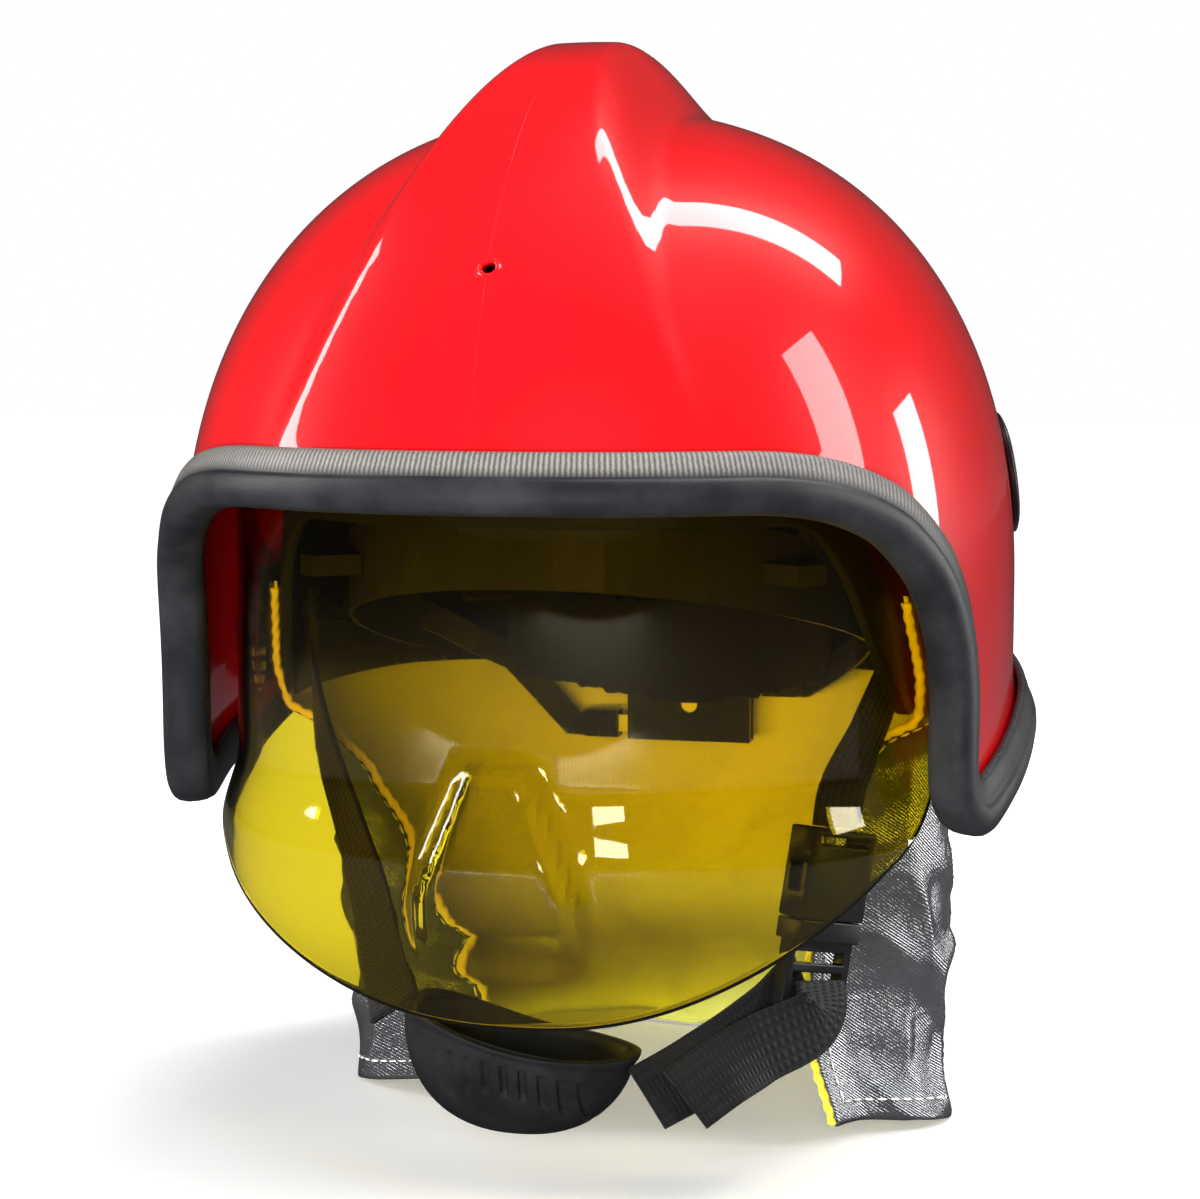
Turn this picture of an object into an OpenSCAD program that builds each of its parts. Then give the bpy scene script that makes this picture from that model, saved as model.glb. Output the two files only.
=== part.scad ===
// Fire helmet with a retracting face shield, ratchet headband, chin strap and neck curtain.
// Millimetres. +Z is up, the face looks along -Y, +X is the wearer's left.
// The origin is the centre of the shell's widest plane, inside the head cavity.

/* [Shell] */
// Half width of the shell at its widest plane
shell_side = 122; // [115:1:128]
// Reach of the shell in front of the origin
shell_front = 150.4; // [145:0.2:156]
// Reach of the shell behind the origin
shell_back = 151.4; // [146:0.2:158]
// Height of the shell above its widest plane, without the crest
shell_top = 143.7; // [139:0.1:150]
// Depth of the half ellipsoid that the lower skirt follows
shell_low = 521; // [400:1:700]
// Roundness of the shell, 2 is an ellipsoid
shell_power = 2.23; // [2.1:0.01:2.4]
// Thickness of the shell's wall
shell_wall = 3; // [2:0.1:4]
// How far the shell's edge flares out under the beading
edge_flare = 3; // [1:0.1:4]
// Height of the face opening's edge above the origin at the brow
brow_z = 35; // [32:0.5:38]
// Place of the cheek's front edge in front of the origin
cheek_y = 62; // [56:0.5:66]
// Depth of the cheek's lower corner below the origin
cheek_z = 60; // [54:0.5:66]
// Radius of the cheek's lower corner
cheek_r = 16; // [15:0.5:18]
// Depth of the shell's rear edge below the origin
nape_z = 36; // [33:0.5:42]

/* [Crest] */
// Height of the crest over the crown
crest_rise = 19.5; // [10:0.5:24]
// Angle above the front horizon where the crest starts
crest_start = 17; // [12:1:24]
// Angle where the crest is highest
crest_peak = 80; // [70:1:95]
// Angle where the crest ends at the back
crest_end = 155; // [135:1:165]
// Half width of the crest's foot at the crown
crest_foot = 31; // [26:1:36]
// Radius of the badge hole
badge_r = 2; // [1:0.1:3]
// Angle of the badge hole above the front horizon
badge_angle = 36.5; // [30:0.5:45]

/* [Beading] */
// Thickness of the beading's legs
bead_leg = 2.2; // [1.5:0.1:3]
// Height of the beading's outer leg over the shell's edge
bead_height = 11.5; // [9:0.5:12]
// How far the beading's ridge stands out of the shell
bead_proud = 7.4; // [6.5:0.1:9]

/* [Inner cap] */
// Half width of the inner cap
cap_side = 99; // [96:0.5:100]
// Reach of the inner cap in front of the origin
cap_front = 103; // [99:0.5:105]
// Reach of the inner cap behind the origin
cap_back = 130; // [124:0.5:134]
// Height of the inner cap
cap_top = 113; // [108:0.5:116]
// Thickness of the inner cap's wall
cap_wall = 3; // [2:0.1:4]
// Gap between the inner cap and the foam liner
liner_gap = 1.4; // [1.4:0.1:1.8]
// Thickness of the foam liner
liner_t = 11; // [8:0.5:12]

/* [Face shield] */
// Half width of the face shield above its bend
shield_side = 108.5; // [106:0.1:109]
// Reach of the face shield in front of the origin above its bend
shield_front = 122; // [119:0.5:124]
// Thickness of the face shield
shield_t = 3; // [2:0.1:3.5]
// How much wider the face shield is at its bend
shield_flare = 5.5; // [2:0.5:6]
// How far the nose bulge stands out
nose_rise = 5; // [2:0.5:6]
// Depth of the chin edge below the origin
chin_z = 114; // [105:1:118]
// Place of the pivot behind the origin
pivot_y = 17; // [14:0.5:20]
// Depth of the pivot below the origin
pivot_z = 12; // [9:0.5:14]
// Radius of the pivot stud
pivot_r = 4; // [3:0.1:5]
// Radial clearance of running fits
run_gap = 0.05; // [0.02:0.01:0.1]

/* [Side cover] */
// Length of the side cover from front to back
cover_l = 46; // [40:1:50]
// Height of the side cover
cover_h = 38; // [34:1:42]
// Thickness of the side cover
cover_t = 1.8; // [1.2:0.1:2.5]
// Place of the side cover behind the origin
cover_y = 59; // [55:1:62]
// Height of the side cover above the origin
cover_z = 33; // [30:1:36]

/* [Headband] */
// Half width of the headband
band_side = 80; // [76:0.5:81]
// Half length of the headband
band_reach = 99; // [94:0.5:100]
// Place of the headband's centre behind the origin
band_y = 10; // [8:0.5:12]
// Height of the headband
band_h = 24; // [20:1:26]
// Thickness of the headband
band_t = 1.4; // [1:0.1:2]
// Width of the webbing
web_w = 20; // [16:1:22]
// Thickness of the webbing
web_t = 1.6; // [1.2:0.1:2]

/* [Ratchet] */
// Number of teeth on the pinion
pinion_teeth = 10; // [10:1:12]
// Tooth module of pinion and racks
tooth_m = 1.25; // [1.1:0.05:1.3]
// Radius of the ratchet knob
knob_r = 12; // [10:0.5:12.5]
// Thickness of the ratchet knob
knob_t = 8.5; // [7:0.5:9]

/* [Buckle] */
// Width of the buckle
buckle_w = 28; // [26:1:30]
// Thickness of the buckle
buckle_t = 9; // [8:0.5:10]
// Length of the buckle's socket
socket_l = 26; // [24:1:28]

/* [Neck curtain] */
// Depth of the curtain's hem below the origin
hem_z = 165; // [140:1:175]
// Thickness of the outer cloth
cloth_t = 1.2; // [0.8:0.1:1.4]
// Thickness of the inner lining
lining_t = 0.8; // [0.6:0.1:1]
// Depth of the folds at the hem
fold_depth = 4; // [0:0.5:5]

/* [Hidden] */
$fn = 48;
seat = 0.3;
up = [0, 0, 1];
shell_size = [shell_side, shell_front, shell_back, shell_top, shell_low];
cap_size = [cap_side, cap_front, cap_back, cap_top, 400];
cap_power = 2.2;

// Eased step from 0 to 1
function unit(v) = min(1, max(0, v));
function ease(v) = let (u = unit(v)) u * u * (3 - 2 * u);
function unit_vec(v) = v / norm(v);
function flip(points) = [for (i = [len(points) - 1:-1:0]) points[i]];
function mirror_x(v) = [-v[0], v[1], v[2]];
function shrink(size, t) = [for (v = size) v - t];

// Length of a ray from the origin to a rounded ellipsoid, size is side, front, back, top, low
function reach(d, size, power) =
    pow(pow(abs(d[0]) / size[0], power)
        + pow(abs(d[1]) / (d[1] < 0 ? size[1] : size[2]), power)
        + pow(abs(d[2]) / (d[2] > 0 ? size[3] : size[4]), power), -1 / power);
// Half width of the ellipsoid at a side-view place
function width_at(y, z, size, power) =
    size[0] * pow(max(0.0001, 1 - pow(abs(y) / (y < 0 ? size[1] : size[2]), power)
        - pow(abs(z) / (z > 0 ? size[3] : size[4]), power)), 1 / power);
// Point on the ellipsoid at an azimuth from the front and a height
function ring_point(az, z, size, power) =
    let (flat = [sin(az), -cos(az), 0],
        scale_z = pow(1 - pow(abs(z) / (z > 0 ? size[3] : size[4]), power), 1 / power))
    flat * reach(flat, size, power) * scale_z + [0, 0, z];
// Outward normal of the ellipsoid
function normal_at(v, size, power) =
    let (b = v[1] < 0 ? size[1] : size[2], c = v[2] > 0 ? size[3] : size[4])
    unit_vec([sign(v[0]) * pow(abs(v[0]) / size[0], power - 1) / size[0],
        sign(v[1]) * pow(abs(v[1]) / b, power - 1) / b,
        sign(v[2]) * pow(abs(v[2]) / c, power - 1) / c]);
// Directions between a crown direction and a rim direction, at fraction t
function between(a, b, t) =
    let (whole = acos(max(-1, min(1, a * b))))
    (sin((1 - t) * whole) * a + sin(t * whole) * b) / sin(whole);

// The crest is lifted away from the left-right axis
function crest_height(turn) = crest_rise * (turn < crest_peak
    ? pow(ease((turn - crest_start) / (crest_peak - crest_start)), 0.8)
    : 1 - ease((turn - crest_peak) / (crest_end - crest_peak)));
function crest_spread(turn) = unit((crest_peak - turn) / (crest_peak - crest_start - 1));
function crest_edge(turn) = crest_foot + 35 * pow(crest_spread(turn), 1.8);
function crest_flat(turn) = 8 + 52 * pow(crest_spread(turn), 1.6);
function crest_lift(v) =
    let (turn = atan2(v[2], -v[1]), edge = crest_edge(turn), flat = crest_flat(turn))
    crest_height(turn) * ease((edge - abs(v[0])) / (edge - flat)) * [0, -cos(turn), sin(turn)];
function shell_point(d, inset, flare) =
    let (v = d * reach(d, shell_size, shell_power))
    v + crest_lift(v) + (flare - inset) * normal_at(v, shell_size, shell_power);

// Half of the shell's edge, from the brow's middle round the wearer's left to the back's middle
brow_mid_y = 128;
brow_low_z = 30;
function brow_height(y) = brow_z - (brow_z + brow_low_z)
    * (1 - sqrt(max(0, 1 - pow(max(0, y + brow_mid_y) / (brow_mid_y - cheek_y), 2))));
function brow_point(az) =
    let (first = ring_point(az, brow_z, shell_size, shell_power),
        second = ring_point(az, brow_height(first[1]), shell_size, shell_power))
    ring_point(az, brow_height(second[1]), shell_size, shell_power);
function side_point(y, z) = [width_at(y, z, shell_size, shell_power), y, z];
side_edge = concat(
    [for (a = [40:-8:0]) [-brow_mid_y + (brow_mid_y - cheek_y) * cos(a),
        -brow_low_z + (brow_z + brow_low_z) * sin(a)]],
    [for (a = [180:22.5:270]) [-cheek_y + cheek_r + cheek_r * cos(a), -cheek_z + cheek_r + cheek_r * sin(a)]],
    [for (t = [0.3:0.35:1]) [-cheek_y + cheek_r + (30 + cheek_y - cheek_r) * t,
        -cheek_z + (cheek_z - nape_z - 6) * t]],
    [[60, -nape_z - 2]]);
half_edge = concat([for (i = [0:11]) brow_point(4.4 * i)],
    [for (v = side_edge) side_point(v[0], v[1])],
    [for (az = [124:8:180]) ring_point(az, -nape_z, shell_size, shell_power)]);
shell_edge = concat(half_edge, flip([for (i = [1:len(half_edge) - 2]) mirror_x(half_edge[i])]));

// Triangles of a closed skin: two fans of rings that share a rim, outer first
function fan_faces(columns, rings, start, turn) = [
    for (c = [0:columns - 1])
        let (n = (c + 1) % columns, f = [start, start + 1 + c, start + 1 + n])
        turn ? f : [f[0], f[2], f[1]],
    for (r = [0:rings - 2], c = [0:columns - 1], half = [0, 1])
        let (n = (c + 1) % columns, a = start + 1 + r * columns, b = a + columns,
            f = half == 0 ? [a + c, b + c, b + n] : [a + c, b + n, a + n])
        turn ? f : [f[0], f[2], f[1]]];
function rim_faces(columns, rings, inner) = [
    for (c = [0:columns - 1], half = [0, 1])
        let (n = (c + 1) % columns, a = 1 + (rings - 1) * columns, b = inner + a)
        half == 0 ? [a + c, b + c, b + n] : [a + c, b + n, a + n]];
module bowl(crown, rim, rings, outer, inner) {
    columns = len(rim);
    dirs = concat([crown], [for (r = [1:rings], e = rim) between(crown, unit_vec(e), r / rings)]);
    fractions = concat([0], [for (r = [1:rings], e = rim) r / rings]);
    points = concat([for (i = [0:len(dirs) - 1]) outer(dirs[i], fractions[i])],
        [for (i = [0:len(dirs) - 1]) inner(dirs[i], fractions[i])]);
    half = len(dirs);
    polyhedron(points, concat(fan_faces(columns, rings, 0, false),
        fan_faces(columns, rings, half, true), rim_faces(columns, rings, half)), convexity = 8);
}

// A tube through stations of equal sections; a closed loop joins its ends, an open one is capped
module sweep(stations, closed) {
    m = len(stations[0]);
    n = len(stations);
    last = closed ? n - 1 : n - 2;
    walls = [for (i = [0:last], k = [0:m - 1], half = [0, 1])
        let (a = i * m, b = ((i + 1) % n) * m, j = (k + 1) % m)
        half == 0 ? [a + k, b + k, b + j] : [a + k, b + j, a + j]];
    caps = closed ? [] : concat([for (k = [1:m - 2]) [0, k, k + 1]],
        [for (k = [1:m - 2]) [(n - 1) * m, (n - 1) * m + k + 1, (n - 1) * m + k]]);
    polyhedron([for (s = stations, v = s) v], concat(walls, caps), convexity = 8);
}

// Webbing along points, its face looks along the given direction at each point
function web_station(path, i, face, width, thick) =
    let (along = unit_vec(path[min(i + 1, len(path) - 1)] - path[max(i - 1, 0)]),
        across = unit_vec(cross(along, face)), out = cross(across, along))
    [for (c = [[-1, -1], [1, -1], [1, 1], [-1, 1]])
        path[i] + across * c[0] * width / 2 + out * c[1] * thick / 2];
module webbing(path, faces, width = web_w, thick = web_t) {
    sweep([for (i = [0:len(path) - 1])
        flip(web_station(path, i, faces[min(i, len(faces) - 1)], width, thick))], false);
}

// A sheet between two skins given as grids of points
module sheet(outer, inner) {
    rows = len(outer);
    columns = len(outer[0]);
    half = rows * columns;
    skin = [for (r = [0:rows - 2], c = [0:columns - 2], h = [0, 1])
        let (a = r * columns + c)
        h == 0 ? [a, a + columns, a + columns + 1] : [a, a + columns + 1, a + 1]];
    border = concat([for (c = [0:columns - 1]) c],
        [for (r = [1:rows - 1]) r * columns + columns - 1],
        [for (c = [columns - 2:-1:0]) (rows - 1) * columns + c],
        [for (r = [rows - 2:-1:1]) r * columns]);
    edge = [for (i = [0:len(border) - 1], h = [0, 1])
        let (a = border[i], b = border[(i + 1) % len(border)])
        h == 0 ? [a, b, half + b] : [a, half + b, half + a]];
    polyhedron(concat([for (r = outer, v = r) v], [for (r = inner, v = r) v]),
        concat(skin, [for (f = skin) [half + f[0], half + f[2], half + f[1]]], edge), convexity = 8);
}

// A cylinder along X from x0 to x1 on the given side
module pin_x(x0, x1, y, z, r, side = 1) {
    translate([side * (x0 + x1) / 2, y, z]) rotate([0, 90, 0]) cylinder(h = x1 - x0, r = r, center = true);
}

// Shell, beading and side covers
badge_point = shell_point([0, -cos(badge_angle), sin(badge_angle)], shell_wall / 2, 0);
badge_slope = shell_point([0, -cos(badge_angle + 1), sin(badge_angle + 1)], 0, 0)
    - shell_point([0, -cos(badge_angle - 1), sin(badge_angle - 1)], 0, 0);
badge_tilt = atan2(badge_slope[1], badge_slope[2]);
screw_r = 2.4;
module outer_shell() {
    color("red") difference() {
        bowl(up, shell_edge, 18,
            function(d, t) shell_point(d, 0, edge_flare * pow(unit((t - 0.93) / 0.07), 2)),
            function(d, t) shell_point(d, shell_wall, edge_flare * pow(unit((t - 0.93) / 0.07), 2)));
        translate(badge_point) rotate([90 - badge_tilt, 0, 0]) cylinder(h = 20, r = badge_r, center = true);
        for (s = [-1, 1]) pin_x(shell_side - 20, shell_side, cover_y, cover_z, screw_r + 0.4, s);
    }
}

inner_leg = -shell_wall - 0.7;
bead_outline = [[inner_leg - bead_leg, bead_height - 2.5], [inner_leg - bead_leg - 0.2, -2], [-1.5, -4.5],
    [edge_flare + 1, -5], [bead_proud - 0.6, -3], [bead_proud, 3.5], [3.4, bead_height + 0.3],
    [1.2, bead_height], [edge_flare + 1, 0.6], [edge_flare + 0.5, -0.8], [-0.8, -0.8],
    [inner_leg, 0.6], [inner_leg, bead_height - 2.3]];
function edge_station(edge, i) =
    let (n = len(edge), v = edge[i], along = unit_vec(edge[(i + 1) % n] - edge[(i + n - 1) % n]),
        out = normal_at(v, shell_size, shell_power), inward = unit_vec(cross(out, along)))
    [for (c = bead_outline) v + out * c[0] + inward * c[1]];
module edge_beading() {
    color([0.12, 0.12, 0.13])
        sweep([for (i = [0:len(shell_edge) - 1]) flip(edge_station(shell_edge, i))], true);
}

cover_face = width_at(cover_y, cover_z, shell_size, shell_power) + seat + 1.4;
function cover_point(ring, turn, lift) =
    let (y = cover_y + cover_l / 2 * ring * cos(turn), z = cover_z + cover_h / 2 * ring * sin(turn))
    [width_at(y, z, shell_size, shell_power) + lift, y, z];
module side_cover(side) {
    rings = 5;
    turns = [for (i = [0:27]) i * 360 / 28];
    lift = seat + cover_t;
    points = concat([cover_point(0, 0, lift + 0.6)],
        [for (r = [1:rings], a = turns) cover_point(r / rings, a, lift + (r < rings ? 0.6 : 0))],
        [cover_point(0, 0, seat)], [for (r = [1:rings], a = turns) cover_point(r / rings, a, seat)]);
    half = 1 + rings * len(turns);
    mirror([side < 0 ? 1 : 0, 0, 0]) difference() {
        polyhedron(points, concat(fan_faces(len(turns), rings, 0, false),
            fan_faces(len(turns), rings, half, true), rim_faces(len(turns), rings, half)), convexity = 4);
        pin_x(shell_side - 20, shell_side + 5, cover_y, cover_z, screw_r + 0.1);
        pin_x(cover_face, shell_side + 5, cover_y, cover_z, 4.2);
    }
}
module side_cover_left() {
    color([0.08, 0.08, 0.08]) side_cover(1);
}
module side_cover_right() {
    color([0.08, 0.08, 0.08]) side_cover(-1);
}
leg_gap = 3.9;
leg_t = 2.8;
leg_out = width_at(cover_y, cover_z, shell_size, shell_power) - shell_wall - leg_gap;
leg_x = [leg_out - leg_t, leg_out];
module side_screws() {
    color("silver") for (s = [-1, 1]) {
        difference() {
            pin_x(cover_face + 0.1, cover_face + 1.9, cover_y, cover_z, 4, s);
            translate([s * (cover_face + 1.5), cover_y, cover_z]) rotate([0, 90, 0])
                cylinder(h = 1.6, r = 1.7, $fn = 6, center = true);
        }
        pin_x(leg_x[0] - 1, cover_face + 0.2, cover_y, cover_z, screw_r, s);
    }
}

// Inner cap, liner and spacers
function cap_rim(az) = 24 - 58 * ease((az - 44) / 30) - 4 * ease((az - 120) / 50);
function liner_rim(az) = 18 + 22 * cos(az);
cap_edge = [for (i = [0:39]) let (az = i * 9, a = min(az, 360 - az))
    ring_point(az, cap_rim(a), cap_size, cap_power)];
liner_size = shrink(cap_size, cap_wall + liner_gap);
liner_edge = [for (i = [0:35]) let (az = i * 10) ring_point(az, liner_rim(az), liner_size, cap_power)];
strap_y = -18;
strap_z = -8;
module inner_cap() {
    color([0.16, 0.16, 0.17]) difference() {
        bowl(up, cap_edge, 10, function(d, t) d * reach(d, cap_size, cap_power),
            function(d, t) d * reach(d, shrink(cap_size, cap_wall), cap_power));
        pin_x(-cap_side - 5, cap_side + 5, pivot_y, -pivot_z, pivot_r + 0.1);
        pin_x(-cap_side - 5, cap_side + 5, strap_y, strap_z, 2.1);
    }
}
module foam_liner() {
    color([0.2, 0.2, 0.21]) bowl(up, liner_edge, 7, function(d, t) d * reach(d, liner_size, cap_power),
        function(d, t) d * reach(d, shrink(liner_size, liner_t), cap_power));
}
module crown_spacer() {
    color([0.3, 0.3, 0.3]) translate([-18, 5, cap_top + seat])
        cube([36, 38, shell_top - shell_wall - cap_top - 6.5]);
}
module rear_spacer() {
    color([0.3, 0.3, 0.3]) translate([-20, cap_back + seat, -15])
        cube([40, shell_back - shell_wall - cap_back - 2.3, 30]);
}

// Face shield: rounded plan, wider at the bend, drawn in to the chin
shield_power = 2.3;
bend_z = -68;
function shield_grow(z) = shield_flare * ease((-44 - z) / 24);
function shield_tuck(z) = 15 * pow(unit((bend_z - 8 - z) / 38), 2);
function shield_plan(a, z, inset) =
    let (side = shield_side + shield_grow(z) - shield_tuck(z) - inset,
        front = shield_front + shield_grow(z) * 0.5 - shield_tuck(z) - inset, p = 2 / shield_power)
    [side * sign(a) * pow(abs(sin(a)), p), -front * pow(abs(cos(a)), p), z];
function nose_width(z) = 13 + 0.4 * unit((-40 - z) / 35) * 35;
function nose_lift(v) = nose_rise * ease((nose_width(v[2]) - abs(v[0])) / 8)
    * ease((-36 - v[2]) / 8) * ease((v[2] + 98) / 16);
function shield_point(a, z, inset) =
    let (v = shield_plan(a, z, inset)) v - [0, nose_lift(v), 0];
function shield_low(a) =
    let (v = shield_plan(a, bend_z, 0))
    v[1] < -68 ? -chin_z + (chin_z - 70) * pow(abs(v[0]) / 100.5, 2.6) : -70 + (v[1] + 68) * 0.62;
function shield_high(a) =
    let (v = shield_plan(a, 0, 0)) 36 - 34 * ease((v[1] + 80) / 80);
shield_columns = [for (i = [18:-1:-18]) i * 4.85];
shield_rows = [for (r = [0:12]) r / 12];
shield_grid = [for (t = shield_rows) [for (a = shield_columns)
    shield_point(a, shield_high(a) + (shield_low(a) - shield_high(a)) * t, 0)]];
shield_inner = [for (t = shield_rows) [for (a = shield_columns)
    shield_point(a, shield_high(a) + (shield_low(a) - shield_high(a)) * t, shield_t)]];
rivet_places = [[-19, -2], [-19, -24]];
rivet_r = 1.6;
module face_shield() {
    color([0.85, 0.78, 0.1, 0.5]) difference() {
        sheet(shield_grid, shield_inner);
        for (s = [-1, 1], v = rivet_places)
            pin_x(shield_side - 15, shield_side + 5, v[0], v[1], rivet_r + 0.1, s);
    }
}
hinge_x = shield_side + 0.5;
hinge_t = 3;
module shield_hinge(side) {
    difference() {
        union() {
            pin_x(hinge_x, hinge_x + hinge_t, pivot_y, -pivot_z, 15, side);
            translate([side > 0 ? hinge_x : -hinge_x - hinge_t, 0, 0]) rotate([90, 0, 90])
                linear_extrude(hinge_t) polygon([[pivot_y, 15 - pivot_z], [-10, 4], [-26, 5], [-28, -14],
                    [-26, -31], [-10, -31], [pivot_y, -15 - pivot_z]]);
        }
        pin_x(hinge_x - 1, hinge_x + hinge_t + 1, pivot_y, -pivot_z, pivot_r + run_gap, side);
        for (v = rivet_places) pin_x(hinge_x - 1, hinge_x + hinge_t + 1, v[0], v[1], rivet_r + 0.1, side);
    }
}
module shield_hinge_left() {
    color([0.1, 0.1, 0.1]) shield_hinge(1);
}
module shield_hinge_right() {
    color([0.1, 0.1, 0.1]) shield_hinge(-1);
}
module shield_rivets() {
    color("silver") for (s = [-1, 1], v = rivet_places) {
        pin_x(hinge_x - 5, hinge_x + hinge_t + 0.2, v[0], v[1], rivet_r, s);
        pin_x(hinge_x + hinge_t, hinge_x + hinge_t + 0.9, v[0], v[1], 3, s);
    }
}

// Pivot hardware, from the cap outwards to the bracket
washer_x = hinge_x + hinge_t + 0.1;
washer_t = 1;
bracket_x = washer_x + washer_t + 0.1;
bracket_t = 2.5;
nut_t = 1.7;
module pivot_stud(side) {
    pin_x(cap_side - 6, bracket_x + bracket_t + nut_t, pivot_y, -pivot_z, pivot_r, side);
    pin_x(cap_side + seat, hinge_x - seat, pivot_y, -pivot_z, 8, side);
}
module pivot_stud_left() {
    color("silver") pivot_stud(1);
}
module pivot_stud_right() {
    color("silver") pivot_stud(-1);
}
module friction_washers() {
    color([0.75, 0.7, 0.6]) for (s = [-1, 1]) difference() {
        pin_x(washer_x, washer_x + washer_t, pivot_y, -pivot_z, 9, s);
        pin_x(washer_x - 1, washer_x + washer_t + 1, pivot_y, -pivot_z, pivot_r + run_gap, s);
    }
}
module pivot_nuts() {
    color("silver") for (s = [-1, 1]) difference() {
        translate([s * (bracket_x + bracket_t + 0.1 + nut_t / 2), pivot_y, -pivot_z]) rotate([0, 90, 0])
            cylinder(h = nut_t, r = 7, $fn = 6, center = true);
        pin_x(bracket_x, bracket_x + 9, pivot_y, -pivot_z, pivot_r + run_gap, s);
    }
}
// The bracket runs from the pivot to the side cover's screw and bends in under the shell
leg_y = cover_y - pivot_y;
leg_z = cover_z + pivot_z;
leg_l = norm([leg_y, leg_z]);
leg_turn = atan2(leg_z, leg_y);
module hinge_bracket(side) {
    mirror([side < 0 ? 1 : 0, 0, 0]) difference() {
        union() {
            pin_x(bracket_x, bracket_x + bracket_t, pivot_y, -pivot_z, 11);
            translate([0, pivot_y, -pivot_z]) rotate([leg_turn, 0, 0]) translate([0, 0, -8])
                linear_extrude(16) polygon([[bracket_x, 0], [bracket_x, 19], [leg_x[0], leg_l - 10],
                    [leg_x[0], leg_l + 5], [leg_x[1], leg_l + 5], [leg_x[1], leg_l - 9],
                    [bracket_x + bracket_t, 20], [bracket_x + bracket_t, 0]]);
            pin_x(leg_x[0], leg_x[1] + 1.2, cover_y, cover_z, 5);
        }
        pin_x(leg_x[0] - 1, leg_x[1] + 5, cover_y, cover_z, screw_r + run_gap);
        pin_x(bracket_x - 1, bracket_x + 9, pivot_y, -pivot_z, pivot_r + run_gap);
    }
}
module hinge_bracket_left() {
    color([0.2, 0.2, 0.2]) hinge_bracket(1);
}
module hinge_bracket_right() {
    color([0.2, 0.2, 0.2]) hinge_bracket(-1);
}

// Headband and harness: the band slopes from the brow down to the nape
function band_mid(az) = -6 + 24 * cos(az);
function band_point(az, lift, rise) =
    [(band_side + lift) * sin(az), band_y - (band_reach + lift) * cos(az), band_mid(az) + rise];
function band_section(az, lift, thick, low, high) = [band_point(az, lift, low),
    band_point(az, lift + thick, low), band_point(az, lift + thick, high), band_point(az, lift, high)];
module headband() {
    color([0.15, 0.15, 0.15]) sweep([for (i = [-22:22])
        flip(band_section(i * 5, 0, band_t, -band_h / 2, band_h / 2))], false);
}
function pad_section(az, thick, low, high, squeeze) =
    let (mid = (low + high) / 2, tall = (high - low) / 2 * squeeze, deep = thick * squeeze)
    [for (a = [0:36:324]) band_point(az, -seat - thick / 2 + deep / 2 * cos(a) * 0.96, mid + tall * sin(a))];
module brow_pad() {
    color([0.1, 0.1, 0.1]) sweep([for (i = [-12:12])
        flip(pad_section(i * 3.6, 4, -13, 13, abs(i) > 11 ? 0.6 : 1))], false);
}
clip_turns = [-98, -50, 50, 98];
module harness_clips() {
    color([0.2, 0.2, 0.2]) for (az = clip_turns) {
        near = band_point(az, band_t + seat, 0);
        out = unit_vec([near[0], near[1], 0]);
        far = reach(out, shrink(cap_size, cap_wall), cap_power);
        start = norm([near[0], near[1]]);
        translate([near[0], near[1], near[2] - 3]) rotate([0, 0, atan2(out[1], out[0])])
            translate([0.6, -5, 0]) cube([far - start - 2.2, 10, 6]);
    }
}
// Each crown strap rises from the band over the head and down to the opposite side
strap_top = 84;
function over_head(az, t, top) =
    let (a = band_point(az, -web_t * 2, band_h / 2 - 4),
        b = band_point(az + 180, -web_t * 2, band_h / 2 - 4),
        mid = (a + b) / 2, half = (a - b) / 2, swing = cos(t * 180))
    [mid[0] + half[0] * swing, mid[1] + half[1] * swing,
        mid[2] + half[2] * pow(abs(swing), 3) * sign(swing) + (top - mid[2]) * pow(sin(t * 180), 0.8)];
module crown_strap(az, top) {
    path = [for (i = [0:16]) over_head(az, i / 16, top)];
    webbing(path, [for (v = path) unit_vec([v[0], v[1] - band_y, max(2, v[2])])], 18, 1);
}
module crown_strap_front() {
    color([0.1, 0.1, 0.1]) crown_strap(52, strap_top);
}
module crown_strap_rear() {
    color([0.1, 0.1, 0.1]) crown_strap(-52, strap_top + 2);
}
module crown_pad() {
    color([0.15, 0.15, 0.15]) translate([0, band_y, strap_top + 3.2]) cylinder(h = 3, r = 24);
}
nape_low = -22;
module nape_pad() {
    color([0.12, 0.12, 0.12]) sweep([for (i = [-10:10])
        flip(pad_section(180 + i * 4.6, 6, nape_low + abs(i) * 0.5, 17, abs(i) > 9 ? 0.6 : 1))], false);
}

// Ratchet: a pinion between two racks, in a housing behind the nape pad
pitch_r = tooth_m * pinion_teeth / 2;
ratchet_z = -51;
rack_y = 113;
rack_t = 3;
case_y = [rack_y - 2, rack_y + rack_t + 2];
case_w = 44;
case_h = 2 * (pitch_r + 5.2) + 3;
tip = tooth_m * 0.9;
root = tooth_m * 1.2;
flank = tan(20);
thin = 0.12;
half_tooth = PI * tooth_m / 4 - thin;
function involute(base, turn) = base * [cos(turn) + turn * PI / 180 * sin(turn),
    sin(turn) - turn * PI / 180 * cos(turn)];
module pinion_tooth() {
    base = pitch_r * cos(20);
    to_pitch = flank * 180 / PI - 20;
    spread = (half_tooth / pitch_r) * 180 / PI + to_pitch;
    steps = [for (i = [0:5]) i * sqrt(pow((pitch_r + tip) / base, 2) - 1) * 180 / PI / 5];
    side = [for (a = steps) let (v = involute(base, a))
        [v[0] * cos(spread) + v[1] * sin(spread), v[1] * cos(spread) - v[0] * sin(spread)]];
    polygon(concat([[pitch_r - root - 0.2, side[0][1] * 1.05]], side,
        flip([for (v = side) [v[0], -v[1]]]), [[pitch_r - root - 0.2, -side[0][1] * 1.05]]));
}
knob_y = case_y[1] + seat;
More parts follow.
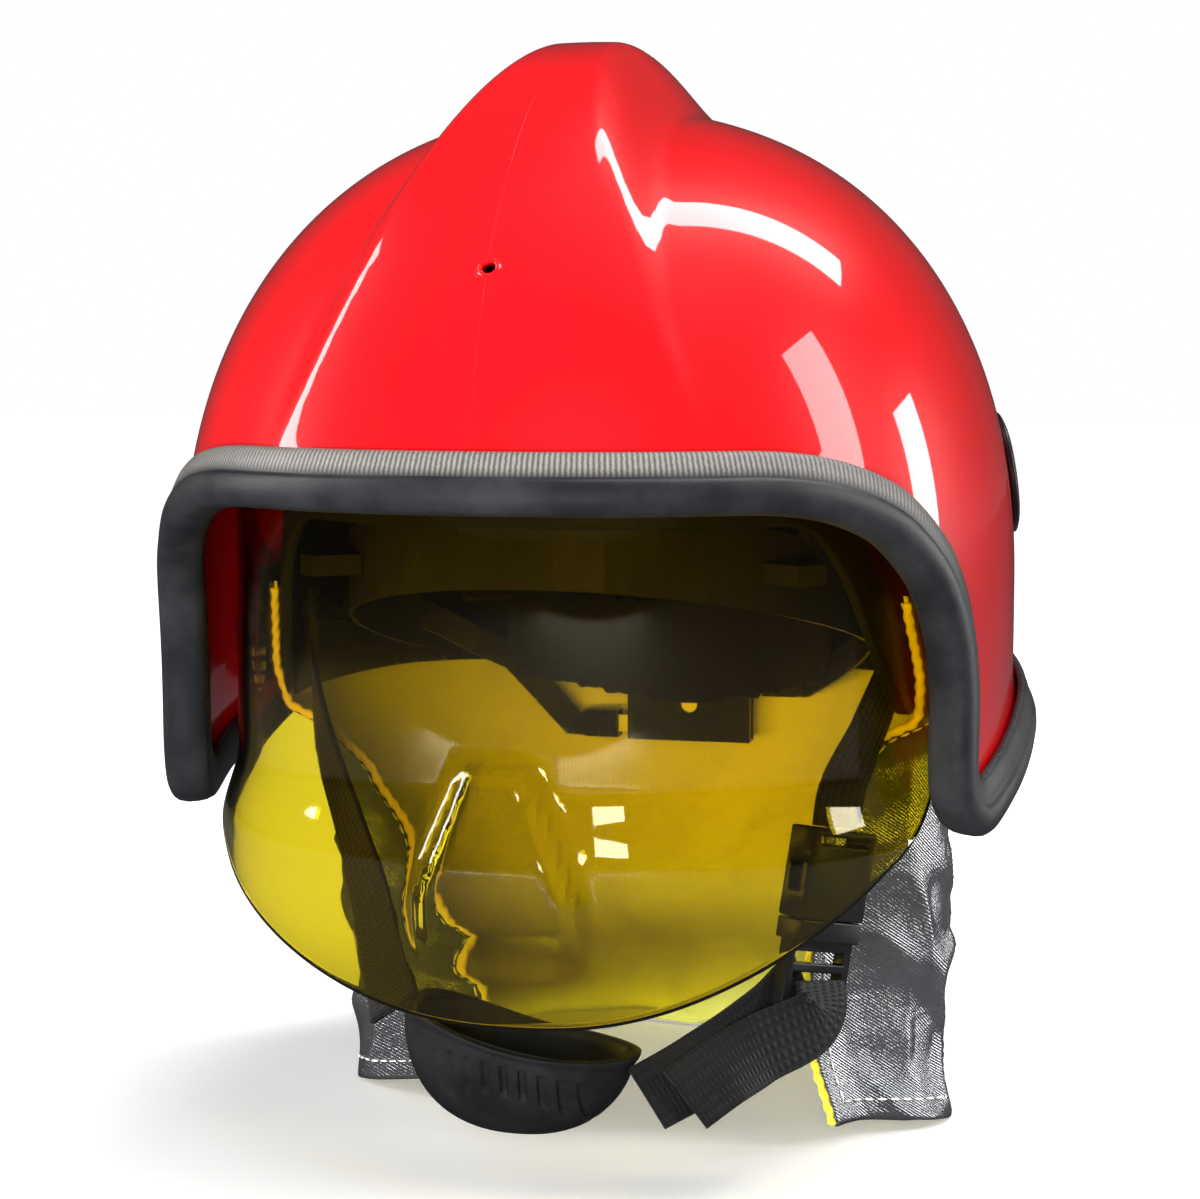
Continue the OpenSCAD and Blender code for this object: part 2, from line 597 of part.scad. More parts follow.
module ratchet_pinion() {
    color("white") translate([0, rack_y, ratchet_z]) rotate([-90, 0, 0]) {
        linear_extrude(rack_t) union() {
            circle(r = pitch_r - root);
            for (i = [0:pinion_teeth - 1]) rotate(90 + i * 360 / pinion_teeth) pinion_tooth();
        }
        translate([0, 0, -1.9]) cylinder(h = 1.9, r = 3);
        translate([0, 0, rack_t]) cylinder(h = knob_y - rack_y - rack_t, r = 3);
    }
}
module ratchet_knob() {
    color([0.1, 0.1, 0.1]) translate([0, knob_y, ratchet_z]) rotate([-90, 0, 0]) difference() {
        cylinder(h = knob_t, r = knob_r);
        for (i = [0:15]) rotate(i * 22.5) translate([knob_r + 0.7, 0, 1.5]) cylinder(h = knob_t, r = 1.6);
        translate([0, 0, knob_t - 2]) cylinder(h = 3, r = 4.5);
    }
}
// A rack's teeth face the pinion; the pinion has a tooth on the upright, so a gap lies there
rack_reach = 42.5;
module rack_shape() {
    pitch = PI * tooth_m;
    difference() {
        translate([-18, -tip]) square([rack_reach + 18, tip + root + 3.2]);
        for (i = [-4:4]) translate([i * pitch, 0])
            polygon([[-half_gap(root), root], [half_gap(root), root], [half_gap(-tip - 0.1), -tip - 0.1],
                [-half_gap(-tip - 0.1), -tip - 0.1]]);
    }
}
function half_gap(depth) = PI * tooth_m / 4 + thin - depth * flank;
module rack(side) {
    translate([0, rack_y + rack_t, ratchet_z]) rotate([90, 0, 0]) linear_extrude(rack_t)
        rotate(side > 0 ? 0 : 180) translate([0, pitch_r]) rack_shape();
}
module rack_left() {
    color([0.85, 0.85, 0.85]) rack(1);
}
module rack_right() {
    color([0.85, 0.85, 0.85]) rack(-1);
}
module ratchet_housing() {
    color([0.12, 0.12, 0.12]) difference() {
        translate([-case_w / 2, case_y[0] - 1.5, ratchet_z - case_h / 2])
            cube([case_w, rack_t + 3.2, case_h]);
        translate([-case_w / 2 - 1, rack_y - seat, ratchet_z - case_h / 2 + 1.2])
            cube([case_w + 2, rack_t + 3, case_h - 2.4]);
        translate([0, rack_y, ratchet_z]) rotate([90, 0, 0]) cylinder(h = 8, r = 3 + run_gap);
    }
}
module ratchet_cover() {
    color([0.12, 0.12, 0.12]) difference() {
        translate([-case_w / 2, rack_y + rack_t + seat, ratchet_z - case_h / 2])
            cube([case_w, case_y[1] - rack_y - rack_t - seat, case_h]);
        translate([0, rack_y, ratchet_z]) rotate([-90, 0, 0]) cylinder(h = 12, r = 3 + run_gap);
    }
}
// Nape straps run from the band's ends to sleeves that guide the racks
sleeve_x = [26, 38];
module nape_strap(side) {
    rack_z = ratchet_z + side * (pitch_r + (root + 3.2 - tip) / 2);
    rack_h = tip + root + 3.2;
    path = [band_point(108, band_t + 1.4, 0), band_point(118, band_t + 1.6, -2),
        band_point(128, band_t + 2, -6), band_point(138, band_t + 3, -10),
        [sleeve_x[1] + 4, rack_y - 2.2, rack_z], [sleeve_x[0] + 2, rack_y - 2.2, rack_z]];
    mirror([side < 0 ? 1 : 0, 0, 0]) {
        webbing(path, [for (v = path) unit_vec([v[0], v[1] - band_y, 0])], 9, 1.6);
        difference() {
            translate([sleeve_x[0], rack_y - 1.8, rack_z - rack_h / 2 - 1.8])
                cube([sleeve_x[1] - sleeve_x[0], rack_t + 3.6, rack_h + 3.6]);
            translate([sleeve_x[0] - 1, rack_y - seat, rack_z - rack_h / 2 - seat])
                cube([sleeve_x[1] - sleeve_x[0] + 2, rack_t + 2 * seat, rack_h + 2 * seat]);
        }
    }
}
module nape_strap_left() {
    color([0.15, 0.15, 0.15]) nape_strap(1);
}
module nape_strap_right() {
    color([0.15, 0.15, 0.15]) nape_strap(-1);
}

// Neck curtain: follows the cap's rim, its front edges turn in under the cheeks
curtain_size = [cap_side + 2.9, cap_front + 2.9, cap_back + 2.9, cap_top, 400];
hem_size = [cap_side + 5, cap_front + 3.4, cap_back - 12, cap_top, 400];
held = 1 / 8;
curtain_free = 41;
draw_depth = 124;
right_turn = 56;
right_curl = 0.48;
left_turn = 72;
left_curl = 0.8;
function curtain_top(az) = -31 + 33 * ease((84 - az) / 16);
function curtain_point(s, v, inset) =
    let (right = s < 0.5, half = right ? 2 * s : 2 - 2 * s, top_az = 68 + 112 * half,
        low = -hem_z + (right ? 14 : 5) * ease((0.3 - half) / 0.3),
        high = curtain_top(top_az),
        z = v < held ? high - (high + curtain_free) * v / held
            : -curtain_free + (low + curtain_free) * (v - held) / (1 - held),
        below = unit((-curtain_free - z) / (hem_z - curtain_free)),
        drawn = unit((-curtain_free - z) / draw_depth),
        az = top_az + ((right ? right_turn : left_turn) - 68) * (1 - half) * drawn,
        curl = 1 - (1 - (right ? right_curl : left_curl)) * ease((0.3 - half) / 0.3) * pow(drawn, 0.6),
        fold = fold_depth * below * sin(top_az * 9) * ease(half * 5),
        flat = [sin(az), -cos(az), 0],
        wide = reach(flat, curtain_size, cap_power) * (1 - below) + reach(flat, hem_size, cap_power) * below,
        out = (wide * curl + fold - inset) * flat)
    [right ? -out[0] : out[0], out[1], z];
curtain_rows = [for (r = [0:8]) r / 8];
curtain_columns = [for (c = [0:50]) c / 50];
function curtain_grid(inset) =
    [for (v = curtain_rows) [for (s = curtain_columns) curtain_point(s, v, inset)]];
module neck_curtain() {
    color([0.75, 0.76, 0.78]) sheet(curtain_grid(0), curtain_grid(cloth_t));
}
module curtain_lining() {
    color([0.85, 0.8, 0.35]) sheet(curtain_grid(cloth_t + 0.4), curtain_grid(cloth_t + 0.4 + lining_t));
}
function strip_section(az) =
    let (flat = [sin(az), -cos(az), 0], out = reach(flat, curtain_size, cap_power) + 0.4)
    [flat * out + [0, 0, -40], flat * (out + 1.2) + [0, 0, -40], flat * (out + 1.2) + [0, 0, -33],
        flat * out + [0, 0, -33]];
module curtain_strip() {
    color([0.1, 0.1, 0.1]) sweep([for (i = [-20:20]) flip(strip_section(180 + i * 3.9))], false);
}
module curtain_studs() {
    color("silver") for (i = [-2:2]) {
        az = 180 + i * 30;
        flat = [sin(az), -cos(az), 0];
        translate(flat * (reach(flat, curtain_size, cap_power) + 2.3) + [0, 0, -36.5])
            rotate([0, 0, -atan2(flat[0], flat[1])]) rotate([-90, 0, 0]) cylinder(h = 1.8, r = 3);
    }
}

// Chin strap, buckle and cup
buckle_mid = [77, -48, -78];
buckle_az = 53;
buckle_tilt = 11.5;
buckle_face = 60;
buckle_up = [sin(buckle_tilt) * cos(buckle_az), sin(buckle_tilt) * sin(buckle_az), cos(buckle_tilt)];
module at_buckle() {
    translate(buckle_mid) rotate([0, 0, buckle_az]) rotate([0, buckle_tilt, 0])
        rotate([0, 0, buckle_face - buckle_az]) children();
}
cheek_out = [[0.988, -0.157, 0], [0.97, -0.25, 0], [0.85, -0.5, 0], [0.8, -0.6, 0.1], [0.6, -0.7, 0.3],
    [0.5, -0.75, 0.4]];
strap_in = cap_side - cap_wall - 4.4;
right_path = [[-strap_in, strap_y, strap_z + 7], [-strap_in + 1, strap_y - 3, strap_z - 12],
    [-80, -30.5 - web_w / 2, -42],
    [-64, -58, -70], [-48, -78, -98], [-40.1, -89.2, -115.1]];
module chin_strap_right() {
    color([0.08, 0.08, 0.08]) difference() {
        webbing(right_path, [for (v = cheek_out) mirror_x(v)]);
        pin_x(-cap_side - 5, 0, strap_y, strap_z, 2.1);
    }
}
socket_top = buckle_mid + buckle_up * (socket_l / 2 - 1);
left_path = [[strap_in, strap_y, strap_z + 7], [strap_in - 1, strap_y - 3, strap_z - 12], [85, -36.5, -40],
    socket_top + buckle_up * 12, socket_top + buckle_up * 1.6];
module chin_strap_left() {
    color([0.08, 0.08, 0.08]) difference() {
        webbing(left_path, [cheek_out[0], cheek_out[0], cheek_out[1], [0.866, -0.5, 0], [0.866, -0.5, 0]]);
        pin_x(0, cap_side + 5, strap_y, strap_z, 2.1);
    }
}
module strap_rivets() {
    color("silver") for (s = [-1, 1]) {
        pin_x(strap_in - 2.4, cap_side + 1.5, strap_y, strap_z, 2, s);
        pin_x(strap_in - 3.5, strap_in - 2.2, strap_y, strap_z, 4, s);
        pin_x(cap_side + 0.1, cap_side + 1.5, strap_y, strap_z, 4, s);
    }
}
socket_half = socket_l / 2;
module buckle_socket() {
    color([0.07, 0.07, 0.07]) at_buckle() difference() {
        translate([-buckle_w / 2, -buckle_t / 2, -socket_half]) cube([buckle_w, buckle_t, socket_l]);
        translate([-12, -2.7, -socket_half - 1]) cube([24, 5.4, socket_l - 6]);
        translate([-buckle_w, -2.7, -5]) cube([2 * buckle_w, 5.4, 8]);
        translate([-web_w / 2 - 0.5, -buckle_t, socket_half - 4.6]) cube([web_w + 1, 2 * buckle_t, 2.4]);
    }
}
ladder_l = 19;
module buckle_plug() {
    color([0.07, 0.07, 0.07]) at_buckle() translate([0, 0, -socket_half - seat]) {
        translate([-buckle_w / 2, -buckle_t / 2, -6]) cube([buckle_w, buckle_t, 6]);
        for (x = [-11.4, -2.5, 8.4]) translate([x, -1.9, -0.5]) cube([x == -2.5 ? 5 : 3, 3.8, 17]);
        difference() {
            translate([-buckle_w / 2, -2.2, -6 - ladder_l]) cube([buckle_w, 4.4, ladder_l + 0.5]);
            for (z = [-12.5, -18.5]) translate([-web_w / 2 - 1, -5, z]) cube([web_w + 2, 10, 3.4]);
        }
    }
}
ladder_out = [0.866, -0.5, 0];
ladder_gap = 3.4;
ladder_mid = buckle_mid - buckle_up * (socket_half + 6 + ladder_l * 0.6);
lower_t = 1.4;
lower_start = ladder_mid - ladder_out * ladder_gap;
// The end stays clear of the cup's lip, whatever the webbing's width
lower_end = [34.4, -92.2, -135.4] + [0.55, 0.2, 0.3] * (web_w - 20) / 2;
function lower_point(t) = lower_start * (1 - t) + lower_end * t + [2, -3, -2] * sin(t * 180);
lower_faces = [ladder_out, ladder_out, [0.7, -0.6, 0.2], [0.5, -0.7, 0.5], [0.4, -0.7, 0.6]];
module chin_strap_lower() {
    color([0.08, 0.08, 0.08]) webbing([for (t = [0:0.25:1]) lower_point(t)], lower_faces, web_w, lower_t);
}
// The loose end lies in front of the lower strap and hangs a little below it
tail_gap = 5;
tail_lean = 2.6;
tail_start = ladder_mid + ladder_out * ladder_gap;
tail_path = concat([tail_start, tail_start - buckle_up * 9 + ladder_out * tail_lean],
    [for (v = [[0.38, 2, 5], [0.58, 3, 6], [0.82, 3, 7]])
        lower_point(v[0]) + unit_vec(lower_faces[v[1]]) * (tail_gap + lower_t) - up * v[2]]);
module strap_tail() {
    color([0.08, 0.08, 0.08]) webbing(tail_path,
        [ladder_out, ladder_out, [0.75, -0.6, 0.2], [0.5, -0.7, 0.5], [0.45, -0.7, 0.55]], web_w, lower_t);
}
// The cup is a shallow bowl that hangs below the shield's chin edge
cup_mid = [-3.5, -86, -116];
cup_size = [34, 20, 16, 10, 33];
cup_down = unit_vec([0.05, -0.3, -1]);
cup_rim = [for (i = [0:27]) let (a = -i * 360 / 28)
    unit_vec([cos(a), 0.9 * sin(a), -0.12 - 0.22 * cos(a) + 0.1 * cos(2 * a)])];
module chin_cup() {
    color([0.06, 0.06, 0.06]) translate(cup_mid) difference() {
        bowl(cup_down, cup_rim, 6, function(d, t) d * reach(d, cup_size, 2.3),
            function(d, t) d * reach(d, shrink(cup_size, 2.6), 2.3));
        for (i = [-4:4]) translate([i * 5.4, -21, -21 + abs(i) * 0.5]) rotate([-24, 0, 0])
            cube([2.2, 2.2, 12], center = true);
    }
}

outer_shell();
edge_beading();
inner_cap();
foam_liner();
crown_spacer();
rear_spacer();
face_shield();
shield_hinge_left();
shield_hinge_right();
shield_rivets();
pivot_stud_left();
pivot_stud_right();
friction_washers();
pivot_nuts();
hinge_bracket_left();
hinge_bracket_right();
side_cover_left();
side_cover_right();
side_screws();
headband();
brow_pad();
harness_clips();
crown_strap_front();
crown_strap_rear();
crown_pad();
nape_strap_left();
nape_strap_right();
nape_pad();
ratchet_housing();
ratchet_cover();
ratchet_pinion();
ratchet_knob();
rack_left();
rack_right();
neck_curtain();
curtain_lining();
curtain_strip();
curtain_studs();
chin_strap_right();
chin_strap_left();
chin_strap_lower();
strap_tail();
chin_cup();
strap_rivets();
buckle_socket();
buckle_plug();
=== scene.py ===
# %% [markdown]
# # A crested fire helmet in Blender
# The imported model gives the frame: every part's place, and how it moves. This lesson gives each
# part its finish, and replaces the plain solids of the parts that show most with finer ones.
# The helmet sits with +Z up, the face looking along -Y and +X on the wearer's left.

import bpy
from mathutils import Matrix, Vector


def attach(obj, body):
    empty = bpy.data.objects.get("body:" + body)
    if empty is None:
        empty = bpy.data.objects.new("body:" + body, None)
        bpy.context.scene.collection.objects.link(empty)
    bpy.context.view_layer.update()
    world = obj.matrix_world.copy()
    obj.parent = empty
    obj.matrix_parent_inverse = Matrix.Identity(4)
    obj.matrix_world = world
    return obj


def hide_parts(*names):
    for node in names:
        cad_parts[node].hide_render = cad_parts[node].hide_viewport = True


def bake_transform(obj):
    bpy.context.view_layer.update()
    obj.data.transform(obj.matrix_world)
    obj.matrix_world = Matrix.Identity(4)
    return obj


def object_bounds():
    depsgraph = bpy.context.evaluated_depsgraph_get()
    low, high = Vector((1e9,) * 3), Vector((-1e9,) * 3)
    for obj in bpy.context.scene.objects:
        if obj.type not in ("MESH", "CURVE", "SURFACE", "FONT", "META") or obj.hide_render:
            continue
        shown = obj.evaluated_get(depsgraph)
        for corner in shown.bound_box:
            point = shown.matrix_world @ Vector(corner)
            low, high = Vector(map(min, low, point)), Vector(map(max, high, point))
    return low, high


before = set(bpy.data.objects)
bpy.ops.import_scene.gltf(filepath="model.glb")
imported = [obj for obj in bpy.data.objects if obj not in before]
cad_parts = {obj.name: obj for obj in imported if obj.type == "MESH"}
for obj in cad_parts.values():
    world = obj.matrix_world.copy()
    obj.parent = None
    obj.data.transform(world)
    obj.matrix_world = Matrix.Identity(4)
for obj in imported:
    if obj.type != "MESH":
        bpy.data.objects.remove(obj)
cad_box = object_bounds()

# %% [markdown]
# ## Small helpers
# All sizes are written in millimetres, as on a drawing, and turned to metres in one place.
# Most of a helmet is thin curved walls. Such a wall could be sculpted, or cut out of a sphere, but
# a flat grid whose points are moved by a formula gives the exact curve and even, neat faces.

# %% Sizes and easing
import math
from functools import partial

import bmesh
import bpy
from mathutils import Vector, noise

MM = 0.001
UP = Vector((0, 0, 1))


def unit(x):
    return min(1.0, max(0.0, x))


def ease(x):
    x = unit(x)
    return x * x * (3 - 2 * x)


# %% A grid whose points are moved
def moved_grid(columns, rows, place, cut=(1, 1)):
    """A grid with its points at place(u, v), in mm, and a UV map in metres of the cut cloth."""
    bm = bmesh.new()
    uv = bm.loops.layers.uv.new("cut")
    bmesh.ops.create_grid(bm, x_segments=columns, y_segments=rows, size=0.5)
    for face in bm.faces:
        for loop in face.loops:
            corner = loop.vert.co
            loop[uv].uv = ((corner.x + 0.5) * cut[0] * MM, (corner.y + 0.5) * cut[1] * MM)
    for vert in bm.verts:
        vert.co = Vector(place(vert.co.x + 0.5, vert.co.y + 0.5)) * MM
    bmesh.ops.remove_doubles(bm, verts=bm.verts, dist=0.00001)
    return bm


def make_piece(name, bm, material, stands_for=None, body="helmet"):
    """Turns the bmesh into an object with a finish. It rides on a body, and may stand for a plain solid
    of the frame."""
    mesh = bpy.data.meshes.new(name)
    bm.to_mesh(mesh)
    bm.free()
    mesh.polygons.foreach_set("use_smooth", [True] * len(mesh.polygons))
    piece = bpy.data.objects.new(name, mesh)
    bpy.context.scene.collection.objects.link(piece)
    mesh.materials.append(material)
    if body:
        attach(piece, body)
    if stands_for:
        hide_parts(stands_for)
    print(f"{name}: {len(mesh.polygons)} faces")
    return piece


def round_edges(piece, width, segments, sharper_than):
    """Rounds every edge that turns by more than sharper_than degrees."""
    bevel = piece.modifiers.new("edge", "BEVEL")
    bevel.width = width * MM
    bevel.segments = segments
    bevel.limit_method = "ANGLE"
    bevel.angle_limit = math.radians(sharper_than)
    return bevel


def give_wall(piece, thickness, edge=0.0):
    """A wall of that many mm, behind the grid's face, with its edge rounded."""
    wall = piece.modifiers.new("wall", "SOLIDIFY")
    wall.thickness = thickness * MM
    wall.offset = -1
    if edge:
        round_edges(piece, edge, 3, 50)


# %% A smooth line through points
def through(points, per_gap, closed=False):
    """Centripetal curve through points, with per_gap steps from each to the next."""
    pts = [Vector(p) for p in points]
    n = len(pts)
    line = []
    for i in range(n if closed else n - 1):
        p1, p2 = pts[i], pts[(i + 1) % n]
        p0 = pts[i - 1] if closed or i > 0 else p1 * 2 - p2
        p3 = pts[(i + 2) % n] if closed or i + 2 < n else p2 * 2 - p1
        knots = [0.0]
        for a, b in ((p0, p1), (p1, p2), (p2, p3)):
            knots.append(knots[-1] + math.sqrt((b - a).length))
        for step in range(per_gap):
            t = knots[1] + (knots[2] - knots[1]) * step / per_gap
            row = [p0, p1, p2, p3]
            for spans in (((0, 1), (1, 2), (2, 3)), ((0, 2), (1, 3)), ((1, 2),)):
                row = [row[j].lerp(row[j + 1], (t - knots[low]) / (knots[high] - knots[low]))
                       for j, (low, high) in enumerate(spans)]
            line.append(row[0])
    if not closed:
        line.append(pts[-1])
    return line


def total_length(line):
    return sum((b - a).length for a, b in zip(line, line[1:]))


def evenly(line, count, closed=False):
    """count points at even steps along the line, and the line's length."""
    pts = list(line) + ([line[0]] if closed else [])
    run = [0.0]
    for a, b in zip(pts, pts[1:]):
        run.append(run[-1] + (b - a).length)
    steps = count if closed else count - 1
    out, i = [], 0
    for k in range(count):
        want = run[-1] * k / steps
        while i < len(run) - 2 and run[i + 1] < want:
            i += 1
        out.append(pts[i].lerp(pts[i + 1], unit((want - run[i]) / max(1e-9, run[i + 1] - run[i]))))
    return out, run[-1]


# %% A skin through rings of points
def swept(stations, closed=False, cut=(1, 1)):
    """A skin through rings of points; open ends are filled."""
    n, m = len(stations), len(stations[0])
    columns = n if closed else n - 1
    bm = moved_grid(columns, m, lambda u, v: stations[round(u * columns) % n][round(v * m) % m], cut)
    if not closed:
        bmesh.ops.holes_fill(bm, edges=[e for e in bm.edges if e.is_boundary], sides=0)
    bmesh.ops.recalc_face_normals(bm, faces=bm.faces)
    return bm


# %% [markdown]
# ## Finishes
# Each finish starts from the real material: its colour as a hex value, how it bends light, and the
# small surface detail that its making leaves. Patterns use Object coordinates in metres, or the
# piece's own UV map where a weave has to follow the cloth. A noise of scale 240 has 240 patches a
# metre, so one about every 4 mm.

# %% One function adds a node
def linear(hex_colour):
    """An sRGB hex colour as the linear numbers Blender shades with."""
    parts = [int(hex_colour[i:i + 2], 16) / 255 for i in (1, 3, 5)]
    return [c / 12.92 if c <= 0.04045 else ((c + 0.055) / 1.055) ** 2.4 for c in parts] + [1.0]


def add_node(tree, kind, links=None, into=None, **settings):
    """Adds a shader node with its settings. links holds values, hex colours, sockets or nodes for its
    inputs; a node stands for its first output in use. into is a socket that this node feeds."""
    made = tree.nodes.new("ShaderNode" + kind)
    for key, value in settings.items():
        setattr(made, key, value)
    for key, value in (links or {}).items():
        if isinstance(value, bpy.types.Node):
            value = next(out for out in value.outputs if out.enabled)
        if isinstance(value, bpy.types.NodeSocket):
            tree.links.new(value, made.inputs[key])
        else:
            made.inputs[key].default_value = linear(value) if isinstance(value, str) else value
    if into is not None:
        tree.links.new(next(out for out in made.outputs if out.enabled), into)
    return made


def new_finish(name, **values):
    """A material with one Principled shader; also what adds a node to it, the shader's inputs, and
    the coordinates."""
    material = bpy.data.materials.new(name)
    material.use_nodes = True
    tree = material.node_tree
    sockets = tree.nodes["Principled BSDF"].inputs
    for key, value in values.items():
        sockets[key.replace("_", " ")].default_value = value
    add = partial(add_node, tree)
    return material, add, sockets, add("TexCoord").outputs


def shaded(add, sockets, share, dark, light, rough=None):
    """Colour from dark to light by share, and roughness between two numbers with it."""
    if rough:
        add("MapRange", {"Value": share, "To Min": rough[0], "To Max": rough[1]},
            sockets["Roughness"])
    return add("Mix", {"Factor": share, "A": dark, "B": light}, sockets["Base Color"],
               data_type="RGBA")


def cloud(add, at, scale, detail, **more):
    """A noise with scale patches a metre and detail finer layers in them."""
    return add("TexNoise", {"Vector": at["Object"], "Scale": scale, "Detail": detail, **more})


def bumps(add, height, tall_mm, strength, into=None, over=None):
    """Bumps as tall as that, on top of the bumps in over."""
    links = {"Height": height, "Distance": tall_mm * MM, "Strength": strength}
    if over is not None:
        links["Normal"] = over
    return add("Bump", links, into)


def waves(pitch_mm):
    """The scale that gives a Wave node one band every pitch_mm, within 2 %."""
    return 1000 / pitch_mm / 6.28 * 2


# %% [markdown]
# ### Gloss shell
# The shell is moulded from glass-filled plastic and sprayed with bright red two-part paint under a
# clear coat. The clear coat gives sharp reflections. The spray leaves a very slight waviness, called
# orange peel, about 4 mm from crest to crest, and the mould leaves a hair line down the front.

# %% Red paint under a clear coat
red_paint, add, sockets, at = new_finish(
    "clear coated red paint", Roughness=0.4, IOR=1.5, Specular_IOR_Level=0.12, Coat_Weight=1.0,
    Coat_Roughness=0.03, Coat_IOR=1.52)
cloudy = cloud(add, at, 14.0, 3.0)
shaded(add, sockets, cloudy, "#c4080f", "#de1118", (0.28, 0.4))
peel = cloud(add, at, 240.0, 1.0)
bump = bumps(add, peel, 0.02, 0.6)
wavy = cloud(add, at, 38.0, 1.0)
bump = bumps(add, wavy, 0.12, 0.5, over=bump)
axes = add("SeparateXYZ", {"Vector": at["Object"]}).outputs
off_middle = add("Math", {0: axes["X"]}, operation="ABSOLUTE")
hair = add("MapRange", {"Value": off_middle, "From Min": 0.12 * MM,
                        "From Max": 0.4 * MM, "To Min": 1.0, "To Max": 0.0})
front = add("Math", {0: axes["Y"], 1: -30 * MM}, operation="LESS_THAN")
mould_line = add("Math", {0: hair, 1: front}, operation="MULTIPLY")
bumps(add, mould_line, 0.12, 0.7, sockets["Normal"], bump)

# %% [markdown]
# ### Rubber, mouldings and metal
# The edge beading and chin cup are extruded and moulded synthetic rubber: nearly black, satin, with
# a fine leather-like grain and a paler bloom where it is rubbed. The buckle and fittings are black
# nylon with a spark-eroded texture. Screws and studs are zinc-plated steel.

# %% Rubber
def grained_rubber(name, dark, light, rough, grain_mm):
    """Rubber with a leather-like grain; also what a finish that builds on it needs."""
    material, add, sockets, at = new_finish(name, Roughness=rough, IOR=1.52, Specular_IOR_Level=0.45)
    bloom = cloud(add, at, 30.0, 6.0, Roughness=0.65)
    share = add("MapRange", {"Value": bloom, "From Min": 0.42, "From Max": 0.72})
    plain = shaded(add, sockets, share, dark, light)
    grain = add("TexVoronoi", {"Vector": at["Object"], "Scale": 1000 / grain_mm},
                feature="DISTANCE_TO_EDGE")
    bump = bumps(add, grain, 0.12, 0.55, sockets["Normal"])
    add("MapRange", {"Value": bloom, "To Min": rough - 0.1, "To Max": rough + 0.12},
        sockets["Roughness"])
    return material, add, sockets, at, plain, bump


trim_rubber, add, sockets, at, plain, bump = grained_rubber(
    "extruded black rubber", "#17181a", "#2c2d2f", 0.46, 0.9)
# Small dents 6 mm apart show where the steel clips inside the beading press on the rubber.
CLIP_STEP = 6.0
along = add("SeparateXYZ", {"Vector": at["UV"]}).outputs
across = along["X"]
for operation, number in (("MULTIPLY", 1000 / CLIP_STEP), ("FRACT", 0), ("SUBTRACT", 0.5),
                          ("MULTIPLY", CLIP_STEP)):
    across = add("Math", {0: across, 1: number}, operation=operation)
up_mm = add("Math", {0: along["Y"], 1: 1000.0, 2: -40.0}, operation="MULTIPLY_ADD")
spot = add("CombineXYZ", {"X": across, "Y": up_mm})
away = add("VectorMath", {0: spot}, operation="LENGTH")
dent = add("MapRange", {"Value": away, "From Min": 0.2, "From Max": 0.8})
bumps(add, dent, 0.3, 0.8, sockets["Normal"], bump)
# The leg that lies on the paint shows the weave of the cloth it was cured on. Its paler grey,
# kept to the brow where the leg faces up, is partly rubbed wear and partly painted sheen.
rubbed_and_sheen = add("MapRange", {"Value": along["Y"], "From Min": 30.5 * MM, "From Max": 34.5 * MM})
height = add("SeparateXYZ", {"Vector": at["Object"]}).outputs
# Painted sheen: the pale grey grows with height, so only the upward-facing leg at the brow is pale.
at_brow = add("MapRange", {"Value": height["Z"], "From Min": 8 * MM, "From Max": 34 * MM})
rubbed_and_sheen = add("Math", {0: rubbed_and_sheen, 1: at_brow}, operation="MULTIPLY")
weave = add("TexWave", {"Vector": at["UV"], "Distortion": 1.5, "Scale": waves(1.4),
                        "Detail Scale": 4.0}).outputs["Fac"]
pale = add("Mix", {"Factor": weave, "A": "#45423f", "B": "#7d7975"}, data_type="RGBA")
add("Mix", {"Factor": rubbed_and_sheen, "A": plain, "B": pale}, sockets["Base Color"], data_type="RGBA")
cup_rubber = grained_rubber("moulded black rubber", "#101011", "#1f2021", 0.5, 1.1)[0]

# %% Black mouldings, acetal and plated steel
def moulded(name, dark, light, rough, grain_mm=0.7, grain=0.05):
    material, add, sockets, at = new_finish(name, Roughness=rough, IOR=1.53)
    patch = cloud(add, at, 45.0, 5.0)
    shaded(add, sockets, patch, dark, light, (rough - 0.08, rough + 0.08))
    pits = cloud(add, at, 1000 / grain_mm, 2.0)
    bumps(add, pits, grain, 0.6, sockets["Normal"])
    return material


# Nylon from a spark-cut mould is dull and nearly black. ABS and polyethylene are greyer, the second a
# little waxy. Acetal is milky white where it is new, and yellower in the washers.
black_nylon = moulded("spark textured black nylon", "#070708", "#121213", 0.38)
black_cap = moulded("moulded black ABS", "#0e0f10", "#1a1b1c", 0.5, 1.4, 0.1)
band_plastic = moulded("moulded black polyethylene", "#131314", "#202122", 0.42, 1.0)
white_acetal = moulded("natural white acetal", "#dedcd2", "#efeee8", 0.35, 0.9, 0.03)
washer_acetal = moulded("natural acetal washer", "#c9c0a4", "#ddd6bf", 0.4, 0.9, 0.03)
# Zinc plating is bright, with a bluish haze that is patchy from handling.
plated_steel, add, sockets, at = new_finish("zinc plated steel", Metallic=1.0, Roughness=0.3)
haze = cloud(add, at, 160.0, 5.0)
shaded(add, sockets, haze, "#9aa0a4", "#c8ccce", (0.2, 0.42))
turned = cloud(add, at, 1500.0, 1.0)
bumps(add, turned, 0.02, 0.5, sockets["Normal"])

# %% [markdown]
# ### Amber face shield
# The shield is polished polycarbonate, dyed amber in the mass, so its colour deepens at the cut edge
# where the light travels further. It has fine wipe marks that only show in the reflections.

